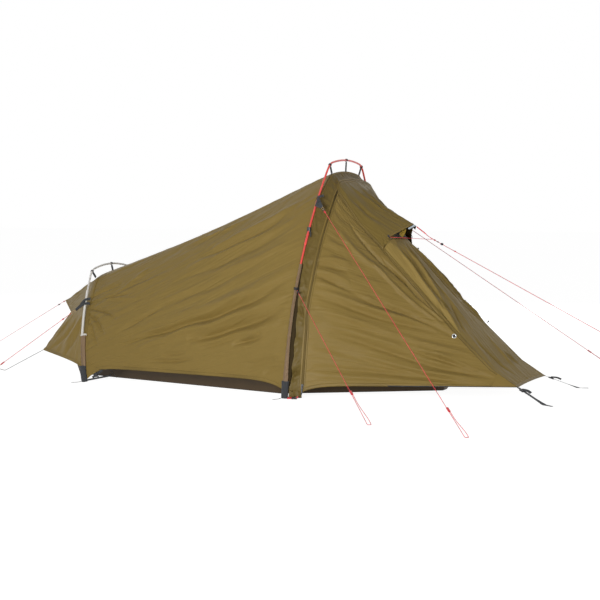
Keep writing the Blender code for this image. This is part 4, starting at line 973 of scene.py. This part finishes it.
# A dark strip just past each of the cone's front seams: painted shade along the seam.
seam_painted_shade = look("seam_painted_shade", (0.085, 0.058, 0.016), 0.80, Specular_IOR_Level=0.15)
detail(seam_painted_shade, "UV", "Wave", (1, 200, 1), tint=0.20, relief=0.0002)
past_seam, shade_strip_width = 0.0113, 0.0030
edging("seam_shade_door_front", door, "right", past_seam, shade_strip_width, seam_painted_shade, lift=0.0010)
edging("seam_shade_side_front", far_side, "right", past_seam, shade_strip_width, seam_painted_shade, inner,
       lift=0.0010)
tape_start, tape_width = 0.0003, 0.0042
zip_share = 0.389  # the zip opens this far up the arch
edging("zip_tape_rear", band, "right", tape_start, tape_width, zip_tape, lift=0.0003, thick=0.0003,
       trim=(0, zip_share))
edging("zip_tape_front", door, "left", tape_start, tape_width, zip_tape, lift=0.0005, thick=0.0005)


def corner_patch(name, grid, reach_up, reach_along, outward, finish):
    """A corner's reinforcement, cut slantwise between its reach up the seam and along the hem."""
    height, width = grid.shape[:2]
    raised = grid + facing_of(grid) * 0.0012 * outward
    rows = []
    for share in np.linspace(0, 1, 13):
        row = []
        for part in np.linspace(0, 1, 17):
            v = reach_up * share * (height - 1)
            u = (1 - reach_along * (1 - share) * part) * (width - 1)
            j, i = min(int(v), height - 2), min(int(u), width - 2)
            b, a = v - j, u - i
            row.append(raised[j, i] * (1 - a) * (1 - b) + raised[j, i + 1] * a * (1 - b)
                       + raised[j + 1, i] * (1 - a) * b + raised[j + 1, i + 1] * a * b)
        rows.append(row)
    points = np.array(rows)
    points[-1] += (points[-2] - points[-1]) * 0.02
    thicken(piece_of(name, points, finish), 0.0008)


cone_patch, foot_patch = (0.089, 0.125), (0.115, 0.078)  # each patch's two reaches, as shares
corner_patch("corner_patch_near", door, *cone_patch, outer, cone_cloth)
corner_patch("corner_patch_far", far_side, *cone_patch, inner, cone_cloth)
corner_patch("foot_patch_near", main_near[:, ::-1], *foot_patch, inner, main_cloth)
corner_patch("foot_patch_far", main_far[:, ::-1], *foot_patch, outer, main_cloth)

coil = look("zip_coil", (0.110, 0.076, 0.024), 0.75, Specular_IOR_Level=0.15)
detail(coil, "Object", "Wave", (4, 4, 190), tint=0.45, relief=0.0008)
dull_black = look("dull_black", (0.020, 0.020, 0.022), 0.42)
detail(dull_black, "Object", "Noise", (160, 160, 160), tint=0.12, relief=0.0001, rough=0.25)
paint_node("zip_chain", coil)
for node in ("zip_slider", "strap_adjuster_near", "strap_adjuster_far"):
    paint_node(node, dull_black)


# Sleeves and pockets. The lower part of each pole runs in a flat sleeve of brown cloth, with a
# narrow flap beside the tall one, dark with painted shadow, and stands in a cup of black webbing
# that ends in a short cord.
sleeve_half, pocket_half, pocket_top = 0.0135, 0.0170, 0.080
brown_cloth = look("brown_cloth", (0.225, 0.144, 0.076), 0.66, Sheen_Weight=0.06)
detail(brown_cloth, "Object", "Noise", (18, 18, 9), tint=0.10, relief=0.0010, fine=4.0)
fine_folds(brown_cloth, 0.9, 0.060, 0.011, 0.0065)
detail(brown_cloth, "UV", "Wave", (260, 1, 1), tint=0.05, relief=0.00006)
detail(brown_cloth, "UV", "Wave", (1, 260, 1), tint=0.05, relief=0.00006, turn=math.radians(90))
streaked_cloth = look("streaked_brown_cloth", (0.205, 0.131, 0.068), 0.66, Sheen_Weight=0.06)
detail(streaked_cloth, "UV", "Noise", (8, 120, 1), tint=0.55, relief=0.0030, turn=math.radians(5))
# The flap's dark colour is painted shadow beside the sleeve.
flap_painted_shadow = look("flap_painted_shadow", (0.046, 0.031, 0.012), 0.75, Specular_IOR_Level=0.10)
detail(flap_painted_shadow, "UV", "Noise", (50, 22, 1), tint=0.25, relief=0.0020, fine=3.0)
webbing = look("webbing", (0.024, 0.026, 0.029), 0.74, Sheen_Weight=0.15)
detail(webbing, "UV", "Wave", (250, 1, 1), tint=0.32, relief=0.0003)
detail(webbing, "UV", "Noise", (900, 900, 1), tint=0.22, relief=0.0001)

narrowing = ([0.08, 0.14, 0.26, 0.45, 0.61], [0.98, 0.82, 0.58, 0.53, 0.53])
for prefix, hoop, top, seed, forward, narrow, corner, finish in (
        ("main", tall, 0.610, 61, 0.0, narrowing, 1.7, brown_cloth),
        ("foot", short, 0.225, 71, 0.0062, ([0, 1], [1, 1]), 1.0, streaked_cloth)):
    for suffix, side in both_sides:
        route = hoop.leg(pocket_top - 0.004, top, 40 + round(top * 220))
        half = sleeve_half * np.interp(route[:, 2], *narrow)
        tube = on_side(swept(route + hoop.side * forward, half, sleeve_depth, across=hoop.side,
                             sides=44, corner=corner), side)
        around = np.sin(math.pi * np.linspace(0, 1, tube.shape[0]))[:, None] ** 0.5
        along = np.linspace(0, 1, tube.shape[1])[None]
        ends = np.clip(np.minimum(along, 1 - along) * 14, 0, 1)
        wrinkle = ruffled(tube, seed + side, 0.0013, 0.018, 0.75, spread=0.5, count=16)
        wrinkle += ruffled(tube, seed + 5 + side, 0.0009, 0.040, 0.3, spread=0.3)
        tube = pushed(tube, wrinkle * around * ends, side)
        tube[-1] = tube[0]
        cover = piece_of(prefix + "_sleeve_cloth_" + suffix, tube, finish,
                         round_shape=True)
        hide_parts(prefix + "_sleeve_" + suffix)
        flare = np.interp(np.linspace(0, 1, 26), [0, 0.1, 0.8, 0.86, 1], [0.94, 1, 1, 1.07, 1.07])
        cup = swept(hoop.leg(0.0, pocket_top, 26), pocket_half * flare, sleeve_depth * flare,
                    across=hoop.side, sides=32, corner=0.8)
        cup[..., 2] = np.maximum(cup[..., 2], 0.0)
        cover = piece_of(prefix + "_pocket_webbing_" + suffix, on_side(cup, side), webbing,
                         round_shape=True)
        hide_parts(prefix + "_pocket_" + suffix)
for name, grid, outward in (("hem_cord_door", door, outer), ("hem_cord_side", far_side, inner)):
    edging(name, grid, "bottom", 0.0002, 0.0040, webbing, outward, lift=0.0020, thick=0.0016,
           trim=(0.40, 1))
flap_at = (0, 0.08, 0.16, 0.25, 0.34, 0.43, 0.52, 0.61, 0.70, 0.79, 0.88, 1)
flap_width = (0.019, 0.025, 0.020, 0.027, 0.022, 0.026, 0.019, 0.022, 0.015, 0.014, 0.011, 0.009)
for name, widths, trim in (("sleeve_flap_shadow_near", flap_width, (0.01, 0.208)),
                           ("sleeve_flap_shadow_far", flap_width[::-1], (0.792, 0.99))):
    edging(name, band, "left", 0.0010, (flap_at, widths), flap_painted_shadow, lift=0.0018, trim=trim)

tail_width = 0.0022
for name, start, end in (
        ("main_pocket_tail", (-0.0460, -0.6080, 0.0045), (-0.0711, -0.6560, 0.0012)),
        ("foot_pocket_tail", (-1.2100, -0.4800, 0.0045), (-1.2500, -0.5160, 0.0012))):
    middle = between(start, end, [0.5])[0] + (0.004, -0.003, -0.0012)
    path = curved([start, middle, end], 8)
    line(name, path, width=tail_width, finish=black_braid)


# Webbing and hooks. Black straps hang the cloth from both hoops and hold the corners down to the
# ground, with small moulded hooks, rings and buckles. They are woven, cut to length and sewn on.
def strap(name, path, across, width, thickness, finish=webbing, node=None,
          body="tent"):
    """A flat strap along a path, with rounded edges. across is its width's direction."""
    rows = swept(path, width / 2, thickness / 2, across=across, sides=16, corner=0.35)
    piece = piece_of(name, rows, finish, round_shape=True, body=body)
    if node:
        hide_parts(node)


def loop_of(name, centre, across, along, radius, thick, finish):
    """A moulded or wire ring: a round bar turned about its middle."""
    turns = np.radians(np.linspace(0, 360, 33))[:, None]
    path = centre + unit(along) * radius * np.cos(turns) + unit(across) * radius * np.sin(turns)
    rows = swept(path, thick, sides=10)
    rows[:, -1] = rows[:, 0]
    piece_of(name, rows, finish, round_shape=True)


hook_wall, ear_reach = 0.0018, 0.0075  # from the pole to the hook's middle line and to its ear
hook_from, hook_to = -55, 215         # degrees of the pole that the hook goes round


def hanger(name, place, along, cloth_point, node):
    """A strap from the cloth up to a moulded hook that clips over the pole."""
    drop = cloth_point - place
    down = unit(drop - along * drop.dot(along))
    side = np.cross(along, down)
    low = place + down * (drop.dot(down) - 0.001)
    ear = place + down * (pole_radius + ear_reach)
    web = between(low, ear, (0, 0.35, 0.7, 1))
    web[1] += side * 0.0004
    strap(name + "_strap", web, along, 0.0160, 0.0024, node=node)
    turns = np.radians(np.linspace(hook_from, hook_to, 22))[:, None]
    bar = pole_radius + hook_wall
    hook = place + side * bar * np.cos(turns) - down * bar * np.sin(turns)
    strap(name + "_hook", hook, along, 0.0075, 0.0028, dull_black)
    strap(name + "_ear", [place + down * (bar - 0.0004), ear + down * 0.002], along, 0.0120, 0.0034,
          dull_black)


elbow_index = 34  # the middle of the elbow in a hoop's line
for prefix, hoop, edge in (("main", tall, main_edge), ("foot", short, foot_edge)):
    route = hoop.over()
    elbow, along = route[elbow_index], unit(route[elbow_index + 1] - route[elbow_index - 1])
    for suffix, side in both_sides:
        hanger("%s_hanger_%s_web" % (prefix, suffix), on_side(elbow, side), on_side(along, side),
               on_side(edge[leg_rows * fineness], side), "%s_hanger_%s" % (prefix, suffix))
    hanger(prefix + "_hanger_centre_web", hoop.at(0.0, hoop.apex), np.array((0.0, 1.0, 0.0)),
           edge[-1], prefix + "_hanger_centre")

tan_cord = look("tan_cord", (0.420, 0.300, 0.170), 0.70)
detail(tan_cord, "UV", "Wave", (120, 260, 1), tint=0.20, relief=0.0002, turn=math.radians(34))
eye_back = 0.00705      # from a fitting's eye to the start of its line
neck_back = 0.020       # from the eye back to the place where the web narrows
neck_half = 0.0075
for prefix, hoop, height, spread, start, peg, ring_finish, ring_slot, fingers in (
        ("main", tall, 0.896, 0.023, upper_line_start, upper_peg, dull_black, "black_plastic",
         ((1, 0.75, 0.012),)),
        ("foot", short, 0.386, 0.013, foot_line_start, foot_side_peg, tan_cord, "webbing",
         ((1, 0.7, 0.002), (2, -0.75, -0.002)))):
    way = unit(np.array((*peg, line_width / 2)) - start)
    eye = start - way * eye_back
    along = unit(hoop.near(height + 0.01) - hoop.near(height))
    flat = unit(along - way * along.dot(way))
    out = unit(np.array((0, -1, 0)) - along * along.dot((0, -1, 0)))
    neck = eye - way * neck_back
    web = np.array([between(hoop.near(height + share * spread) + out * 0.0062 - way * 0.001,
                            neck + flat * neck_half * share, np.linspace(0, 1, 18))
                    for share in np.linspace(-1, 1, 13)])
    strands = curved([neck + flat * 0.0035, eye + flat * 0.004 - way * 0.008, eye + way * 0.0005,
                      eye - flat * 0.004 - way * 0.008, neck - flat * 0.0035], 7)
    for suffix, side in both_sides:
        node = "%s_guy_web_%s" % (prefix, suffix)
        cloth = thicken(piece_of(node + "_cloth", on_side(web, side), webbing), 0.0015)
        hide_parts(node)
        cord = piece_of(node + "_loop", swept(on_side(strands, side), 0.0012, sides=8), tan_cord,
                        round_shape=True)
        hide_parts(node)
        loop_of(node + "_ring", on_side(eye + way * 0.002, side), on_side(flat, side),
                on_side(way, side), 0.0055, 0.0015, ring_finish)
        for number, share, rise in fingers:
            root = hoop.near(height + share * spread) + out * 0.0095
            finger = curved([root + (neck - root) * 0.45, root + (neck - root) * 0.10 + out * 0.001,
                             root + hoop.side * 0.012 + (0, 0, rise * 0.4) - out * 0.001,
                             root + hoop.side * 0.030 + (0, 0, rise) - out * 0.0055], 6)
            strap("%s_finger_%d" % (node, number), on_side(finger, side), on_side(along, side),
                  0.0140, 0.0020)

clip_at = tall.near(0.7685)
strap("pole_clip", clip_at + np.array([(0, 0, -0.011), (0, 0, 0), (0, 0, 0.011)]), (1, 0, 0),
      0.0165, 0.0165, dull_black)
clip_tail = curved(clip_at + np.array([(0.006, -0.004, -0.006), (0.011, -0.006, -0.018),
                                       (0.009, -0.004, -0.034)]), 6)
strap("pole_clip_tail", clip_tail, (1, 0, 0), 0.0060, 0.0012)
white_tape = look("white_tape", (0.780, 0.760, 0.700), 0.60)
detail(white_tape, "Object", "Noise", (90, 90, 90), tint=0.08, relief=0.0002)
strap("foot_sleeve_tape", short.leg(0.222, 0.229, 6) + short.side * 0.0085, short.side, 0.0330,
      0.0165, white_tape)
strap("foot_pole_tape", short.leg(0.222, 0.395, 24) + (0, -0.0014, 0), short.side, 0.0112, 0.0085,
      white_tape)

# Each front corner's strap runs down to the ground and lies flat, with a sliding adjuster and its
# tail.
strap_down = np.array((1.100, -0.320, 0.0006))
lie_height, adjuster_at = 0.0008, 0.0303  # the strap's height on the ground, its adjuster's place
way = unit(strap_down - front_corner)
level = unit((way[0], way[1], 0))
across = np.cross((0, 0, 1), level)
path = curved([front_corner + way * 0.0003, *between(front_corner, strap_down, (0.5, 0.93)),
               strap_down + level * 0.004, strap_down + level * 0.045], 6)
tilt = np.interp(np.arange(len(path)), [0, 2, 8, 12, 18, 24], [0, 0.06, 0.06, 0.45, 0.15, 0])
tilt = tilt[:, None]
path[:, 2] = np.maximum(path[:, 2], lie_height + 0.0078 * tilt[:, 0])
normal = np.cross(way, across)
normal = normal if normal[2] > 0 else -normal
tail_points = ((-0.004, 0.0032, 0), (0.012, 0.0085, 0), (0.030, 0.0120, 0.002),
               (0.048, 0.0105, 0.004))
tail = front_corner + curved([way * (adjuster_at + on) + normal * rise + across * aside
                              for on, rise, aside in tail_points], 6)
for suffix, side in both_sides:
    strap("corner_webbing_" + suffix, on_side(path, side), on_side(across + normal * tilt, side),
          0.0150, 0.0014, node="corner_strap_" + suffix)
    strap("adjuster_tail_" + suffix, on_side(tail, side),
          on_side(unit(across + normal * 0.75), side), 0.0130, 0.0014,
          body="strap_adjuster_" + suffix)

# At the foot, a strap ties each pole's cup to the tub's side, and short ones hold the near hem.
tub_shoulder = np.array((-1.194, -0.236, 0.0))
tub_side_slope = 0.20112     # how far the tub's side comes out for each metre along it
base_width, base_low = 0.0150, 0.0016
pocket_side = np.array((-1.202, -0.469 + sleeve_depth + 0.0006, base_low))
tub_side = tub_shoulder + np.array((0, -0.0012 - tub_side_slope * (base_width / 2), base_low))
base = np.linspace(pocket_side, tub_side, 14) + (0, 0, 0.0060)
for suffix, side in both_sides:
    strap("foot_base_webbing_" + suffix, on_side(base, side), (1, 0, 1), base_width, 0.0016,
          node="foot_base_strap_" + suffix)
hem_share = 3 / 22  # the hem's strap is sewn on at this share of the way to the tall hoop
hem_point = foot_edge[0] + (main_edge[0] - foot_edge[0]) * hem_share + (
    0, 0, hem_lift * (1 - abs(2 * hem_share - 1) ** 8))
top, low = hem_point + (0, 0.0017, -0.0010), tub_shoulder + (0.050, -0.035, 0.0070)
strap("hem_webbing_near", np.linspace(top, low, 12), unit(np.cross(unit(low - top), (0, 1, 0))),
      0.0120, 0.0012, node="hem_strap_near")
hem_end, buckle_at = np.array((-1.0900, -0.4822, 0.0665)), np.array((-1.1265, -0.4800, 0.0419))
run = unit(buckle_at - hem_end)
run_across = unit(np.cross(run, (0, 1, 0)))
strap("foot_tension_strap", curved([hem_end, buckle_at, (-1.1500, -0.4785, 0.0262)], 8), run_across,
      0.0120, 0.0014)
strap("foot_tension_buckle",
      between(buckle_at, buckle_at + run * 0.009, (-1, 0, 1)) - (0, 0.002, 0), run_across, 0.0200,
      0.0056, dull_black)
strap("foot_tension_tie", np.linspace(buckle_at + run * 0.002, (-1.1945, -0.3445, 0.0052), 12),
      (0.90, 0.45, 0), 0.0120, 0.0014)


# Foot corners and the zip's foot. Loose cloth hangs from the lifted hem down to each pole's cup,
# and below the tall hoop's band. A tab, a buckle with its red latch and a strap hold the zip's
# lower end.
cup_height = 0.0045
for suffix, side, outward, grid, edge, inside in (
        ("near", -1, outer, main_near, 0, 6), ("far", 1, inner, main_far, -1, -7)):
    hem = (grid[0] + facing_of(grid)[0] * 0.0013 * outward)[1:19]
    low_corner = np.array((hem[0][0] + 0.001, hem[0][1] + side * 0.004, cup_height))
    drop = (low_corner - hem[0]) * (np.linspace(1, 0.04, len(hem)) ** 1.2)[:, None]
    corner_cloth = between(hem, hem + drop, np.linspace(-0.12, 1, 12))
    sheet("foot_corner_cloth_" + suffix, corner_cloth, main_cloth, (0, side, 0.1))
    hem = band[edge, 5:]
    down = hem - band[inside, 5:]
    down = down / -down[:, 2:] * (hem_height - cup_height)
    skirt = between(hem, hem + down, np.linspace(-0.25, 1, 12))
    skirt += facing_of(band)[edge, 5:] * 0.0012
    skirt[..., 1] += side * 0.0016 * np.sin(200 * skirt[..., 0])
    sheet("band_foot_cloth_" + suffix, skirt, band_cloth_painted_shade, (0, side, 0.1))
zip_low = arch[0]
strap("zip_end_tab", zip_low + np.array([(0.001, -0.0028, 0.020), (0.0005, -0.0036, 0.002),
                                         (-0.0040, -0.0040, -0.014)]), (1, 0, 0.02), 0.0075, 0.0016)
for name, path, width, thickness, finish, slot in (
        ("buckle", ((0.0000, -0.6005, 0.0048), (0.0110, -0.5985, 0.0060),
                    (0.0230, -0.5955, 0.0052)), 0.0150, 0.0085, dull_black, "black_plastic"),
        ("pull", ((-0.0200, -0.6030, 0.0038), (-0.0100, -0.6022, 0.0050),
                  (0.0010, -0.6010, 0.0052)), 0.0150, 0.0060, red_plastic, "red_plastic"),
        ("latch", ((0.0225, -0.5965, 0.0060), (0.0265, -0.5958, 0.0085),
                   (0.0285, -0.5950, 0.0140)), 0.0120, 0.0065, red_plastic, "red_plastic")):
    strap("zip_foot_" + name, path, (0.2, 1, 0.3), width, thickness, finish)
strap("zip_foot_strap", curved([(-0.0210, -0.5990, 0.0018), (0.0120, -0.5925, 0.0068),
                                (0.0340, -0.5860, 0.0060), zip_low + (0.001, -0.0032, -0.020)], 6),
      (0.2, 1, 0), 0.0100, 0.0013)


# Toggles and the door's snap. Two moulded barrels on cord loops, for tying back a rolled panel,
# sit on the far front seam, and a steel ring with a dark stud sits near the door's front seam.
toggle_length, toggle_radius = 0.022, 0.0036
for name, point in (("tie_toggle_upper", (0.3105, 0.2018, 0.6600)),
                    ("tie_toggle_lower", (0.6630, 0.2359, 0.3075))):
    way = unit((0.55, 0.30, 0.75))
    cross_way = unit(np.cross(way, (0.7, 0, -0.7)))
    share = np.linspace(-1, 1, 12)
    barrel = point + way * 0.010 + cross_way * (toggle_length / 2 * share)[:, None]
    radius = toggle_radius * np.sqrt(np.clip(1.04 - share ** 4, 0.05, 1))
    piece_of(name, swept(barrel, radius), dull_black, round_shape=True)
    cord_path = curved([point - way * 0.001, point + way * 0.006 + cross_way * 0.002,
                        point + way * 0.010], 4)
    piece_of(name + "_loop", swept(cord_path, line_width / 2, sides=8), black_braid,
             round_shape=True)

steel = look("steel", (0.620, 0.620, 0.600), 0.28, Metallic=1.0)
detail(steel, "Object", "Noise", (220, 220, 220), tint=0.06, rough=0.3)
snap_up, snap_along = 0.277, 0.962  # the snap's place on the door, as shares
stud_radius, ring_radius, ring_bar = 0.0074, 0.0090, 0.0022
j, i = round(snap_up * (door.shape[0] - 1)), round(snap_along * (door.shape[1] - 1))
snap_at, snap_out = door[j, i], facing_of(door)[j, i]
edge_way = unit(door[j + 4, i] - door[j, i])
across = np.cross(snap_out, edge_way)
loop_of("door_eyelet", snap_at + snap_out * 0.0020, across, edge_way, ring_radius, ring_bar, steel)
turns = np.linspace(0, 2 * math.pi, 25)[:, None]
stud_edge = (across * np.cos(turns) + edge_way * np.sin(turns)) * stud_radius
dome = [snap_at + snap_out * (0.0008 + 0.0012 * math.cos(tilt)) + stud_edge * math.sin(tilt)
        for tilt in np.linspace(0.05, 1.5, 7)]
piece_of("door_eyelet_centre", np.array(dome), dull_black)


# The hood's trim. A springy pale batten is sewn into the lip of the hood, with a dark lining under
# it and a yellow tab inside. A wire ring hangs in a small tab at each corner, for the bridle.
pale_batten = look("pale_batten", (0.560, 0.630, 0.680), 0.48)
detail(pale_batten, "Object", "Noise", (50, 50, 50), tint=0.06, relief=0.0002)
slope = unit(hood_tip - arch_top)
batten = over_to_far(hood_tip + unit(hood_corner - hood_tip) * np.array([[0.048], [0.024], [0]]))
batten = curved(batten + slope * 0.0083, 6)
strap("hood_batten", batten, slope, 0.0095, 0.0015, pale_batten, node="hood_stiffener")
strap("hood_batten_lining", batten - (0, 0, 0.0016), slope, 0.0125, 0.0012)
yellow_tab = look("yellow_tab", (0.250, 0.160, 0.006), 0.60)
detail(yellow_tab, "UV", "Wave", (250, 1, 1), tint=0.22, relief=0.0003)
strap("hood_inner_tab", [(0.330, -0.040, 0.7720), (0.333, -0.048, 0.7610), (0.331, -0.056, 0.7480),
                         (0.323, -0.062, 0.7350)], (0.7, 0.6, 0.1), 0.0240, 0.0013, yellow_tab)
for suffix, side in both_sides:
    tab_from = on_side(hood_corner, side)
    ring_at = on_side(hood_corner + unit(bridle_join - hood_corner) * 0.004 + (0, 0, -0.004), side)
    loop_of("hood_ring_" + suffix, ring_at, (0.7, -0.5 * side, -0.5), (0, 0.2, 1), 0.0060, 0.0013,
            dull_black)
    tab = [tab_from + unit(tab_from - ring_at) * 0.012, tab_from, ring_at + (0, 0, 0.006)]
    strap("hood_ring_tab_" + suffix, tab, (0.5, side * -0.8, 0), 0.0085, 0.0012)


# Knots. Short windings of each line round itself: below the bridle's join, under the hoods and at
# the webs, and the hitch of the lower line round its pole.
def knot(name, centre, along, radius, length, turns, thick, finish):
    """A tight winding round a line, as a small coil of the same line, smaller at both ends."""
    along = unit(along)
    a = unit(np.cross(along, any_way))
    b = np.cross(along, a)
    t = np.linspace(0, 1, turns * 12 + 1)[:, None]
    swell = radius * (0.72 + 0.28 * np.sin(math.pi * t))
    angle = 2 * math.pi * turns * t
    path = centre + along * (t - 0.5) * length + swell * (a * np.cos(angle) + b * np.sin(angle))
    piece_of(name, swept(path, thick, sides=7), finish, round_shape=True)


front_way = unit(front_peg - bridle_join)
for number, shift, size, finish in ((1, 0.006, 0.0026, red_braid), (2, 0.024, 0.0022, black_braid),
                                    (3, 0.046, 0.0042, black_braid), (4, 0.118, 0.0024, red_braid)):
    knot("bridle_knot_%d" % number, bridle_join + front_way * shift, front_way, size,
         0.004 + 1.8 * size, 3, size * 0.5, finish)
foot_way = unit(foot_peg - foot_tip)
knot("foot_centre_knot", foot_tip + foot_way * 0.047, foot_way, 0.0027, 0.011, 3, 0.0013,
     black_braid)
knot("foot_tip_knot", foot_tip + foot_way * 0.010, foot_way, 0.0022, 0.009, 3, 0.0011, red_braid)
for name, side, start, peg, shift, size, thick, finish in (
        ("upper_near", -1, upper_line_start, upper_peg, 0.016, 0.0028, 0.001316, red_braid),
        ("upper_far", 1, upper_line_start, upper_peg, 0.016, 0.0028, 0.0013, red_braid),
        ("foot_near", -1, foot_line_start, foot_side_peg, 0.052, 0.0028, 0.001316, red_braid),
        ("lower_near", -1, lower_line_start, lower_peg, 0.016, 0.0040, 0.00188, black_braid)):
    way = unit(np.array((*peg, line_width / 2)) - start)
    knot("knot_" + name, on_side(start + way * shift, side), on_side(way, side), size, 0.013, 4,
         thick, finish)
lower_at = tall.near(0.500)
turns = np.linspace(0, 2 * math.pi, 25)[:, None]
for number, rise in ((1, -0.0030), (2, 0.0030)):
    ring = (lower_at + tall.side * 0.0102 * np.cos(turns) + np.array((0, 0.0092, 0)) * np.sin(turns)
            + (0, 0, rise))
    piece_of("lower_line_turn_%d" % number, swept(ring, 0.0024, sides=8), black_braid,
             round_shape=True)
knot("lower_line_hitch", lower_at + (0.006, -0.011, -0.003), (0.5, -0.5, -1), 0.0034, 0.010, 3,
     0.0018, black_braid)


# Vents. Fine dark netting behind each hood, sewn from a panel's top edge up to the hood's
# underside, seen as a small dark opening. Beside the front one, a gusset of the hood's cloth,
# darker with painted shade, closes the near end.
net_scale, net_open = 209, 0.42  # the threads' scale, and the level under which there is none
netting = look("netting", (0.080, 0.070, 0.052), 0.85)
tree = netting.node_tree
place = add_node(tree, "TexCoord")
threads = []
for turn in (0.0, math.radians(90)):
    mapping = add_node(tree, "Mapping", {"Vector": place.outputs["UV"], "Rotation": (0, 0, turn),
                                         "Scale": (net_scale, net_scale, 1)})
    wave = add_node(tree, "TexWave", {"Vector": mapping.outputs[0], "Scale": 1.0})
    threads.append(wave.outputs["Fac"])
both = add_node(tree, "Math", {0: threads[0], 1: threads[1]}, operation="MAXIMUM")
solid = add_node(tree, "Math", {0: both.outputs[0], 1: net_open}, operation="GREATER_THAN")
tree.links.new(solid.outputs[0], tree.nodes["Principled BSDF"].inputs["Alpha"])


def vent(name, under, below, outside, start, end, finish, taper=None, replaced=()):
    """Cloth from a panel's edge, below, up to a hood, under, between two shares of their length.

    With a taper it grows from nothing at the near end.
    """
    kept, shares = np.linspace(start, end, len(below)), np.linspace(0, 1, len(below))
    under = points_at(kept, shares, spaced(under, len(below) - 1))
    below = points_at(kept, shares, below)
    if taper:
        under = below + (under - below) * np.clip(kept / 0.17, 0.1, 1)[:, None] ** taper
    sheet(name, between(below, under, np.linspace(0, 1, 13)), finish, outside,
          replaced=replaced)


under_hood = 0.0013  # the netting's top edge lies this far under the hood's middle layer
row = round((len(hood_grid) - 1) * 3 / 4)
under = hood_grid[row] + facing_of(hood_grid)[row] * under_hood
vent("front_vent_net", under, front_face[-1], (1, 0, 0),
     start=0.26, end=0.988, finish=netting, replaced=["front_vent_mesh"])
vent("front_vent_gusset", under, front_face[-1], (1, -0.4, 0),
     start=0.03, end=0.27, finish=hood_cloth_painted_shade, taper=1.3)
row = round((len(foot_beak) - 1) * 4 / 5)
under = foot_beak[row] - facing_of(foot_beak)[row] * under_hood
first = foot_side_columns * fineness
below = foot_face[-1, first:first + foot_end_columns * fineness + 1]
vent("foot_vent_net", under, below, (-1, 0, 0),
     start=0.012, end=0.988, finish=netting, replaced=["foot_vent_mesh"])


# Tub floor. A dark coated groundsheet, with a wall of the same cloth sewn on and turned up all
# round it.
tub_lean, tub_height, tub_seam, tub_ground = 0.050, 0.100, 0.0016, 0.0005
tub_cloth = look("tub_cloth", (0.074, 0.047, 0.022), 0.55, Specular_IOR_Level=0.25)
detail(tub_cloth, "Object", "Noise", (20, 20, 20), tint=0.16, relief=0.0012, fine=4.0)
detail(tub_cloth, "UV", "Noise", (900, 900, 1), tint=0.10, relief=0.00004)


def tub_outline(out):
    """The near half of the tub's plan, widened by out, from the foot end to the nose."""
    return np.array([(-1.420 - out * 0.4, -0.180 - out * 0.5, 0), (-1.194, -0.236 - out, 0),
                     (-0.657, -0.344 - out, 0), (-0.120, -0.452 - out, 0),
                     (0.205 + out * 0.3, -0.241 - out * 0.8, 0),
                     (0.530 + out, -0.030 - out * 0.5, 0)])


rings = []
for out, height in ((0.0, tub_seam), (tub_lean, tub_height)):
    half = tub_outline(out)
    corners = np.vstack([half, mirrored(half)[::-1], half[:1]])
    ring = [np.linspace(a, b, 12, endpoint=False) for a, b in zip(corners, corners[1:])]
    ring = np.vstack(ring + [corners[-1:]])
    ring[:, 2] = height
    rings.append(ring)
wall = between(*rings, np.linspace(0, 1, 17))
u, v, _, _ = places_on(wall)
wrinkle = ruffled(wall, 81, 0.0010, 0.050, 1.2, spread=0.5)
wall = pushed(wall, wrinkle * np.sin(math.pi * np.clip(v, 0, 1)) ** 0.6
              * np.clip(np.minimum(u, 1 - u) * 60, 0, 1))
sheet("tub_wall_cloth", wall, tub_cloth, (0, 0, 1), replaced=["tub_wall"])
near_line = spaced(tub_outline(0.0), 120)
ground_sheet = between(near_line, mirrored(near_line), np.linspace(0, 1, 40))
ground_sheet[..., 2] = tub_ground
sheet("tub_floor_cloth", ground_sheet, tub_cloth, (0, 0, 1),
      replaced=["tub_floor"])


# Inner tent. A thin pale canopy under the outer tent, sewn to the top of the tub's wall, high
# between the two hoops and low at both ends.
crown_drop = 0.025
canopy_cloth = look("canopy_cloth", (0.330, 0.270, 0.160), 0.78, Sheen_Weight=0.2)
detail(canopy_cloth, "Object", "Noise", (15, 15, 15), tint=0.07, relief=0.0010, fine=4.0)
detail(canopy_cloth, "UV", "Noise", (1300, 1300, 1), tint=0.06)

plan = tub_outline(tub_lean)
canopy_base = tub_height + 0.0009
first_row, last_row = (np.linspace((x, y, canopy_base), (x, -y, canopy_base), 15)
                       for x, y, _ in (plan[0], plan[-1]))
stations = [first_row]
for x, height in ((-1.430, 0.340), (-1.194, 0.470), (-0.592, 0.720), (0.010, 0.990), (0.182, 0.693),
                  (0.353, 0.416), (0.540, 0.178)):
    base_half = float(np.interp(x, plan[:, 0], -plan[:, 1]))
    top_half = min(0.140, base_half * 0.45)
    side_points = [(x, (base_half - top_half) * t ** 2.2 - base_half,
                    canopy_base + (height - crown_drop - canopy_base) * t)
                   for t in np.linspace(0, 1, 6)]
    side_points.append((x, -top_half * 0.5, height - crown_drop * 0.25))
    stations.append(np.vstack([side_points, [(x, 0, height)], mirrored(side_points)[::-1]]))
stations.append(last_row)
canopy = [between(a, b, np.arange(14) / 14) for a, b in zip(stations, stations[1:])]
canopy = np.vstack(canopy + [last_row[None]])
columns = np.arange(canopy.shape[1])
denser = np.linspace(0, columns[-1], columns[-1] * 5 + 1)
canopy = np.array([points_at(denser, columns, row) for row in canopy])
canopy = pushed(canopy, edge_fade(canopy, 0.05) * (ruffled(canopy, 91, 0.0012, 0.060, 0.6) - 0.002),
                inner)
sheet("inner_canopy_cloth", canopy, canopy_cloth, (0, 0, 1),
      replaced=["inner_canopy"])
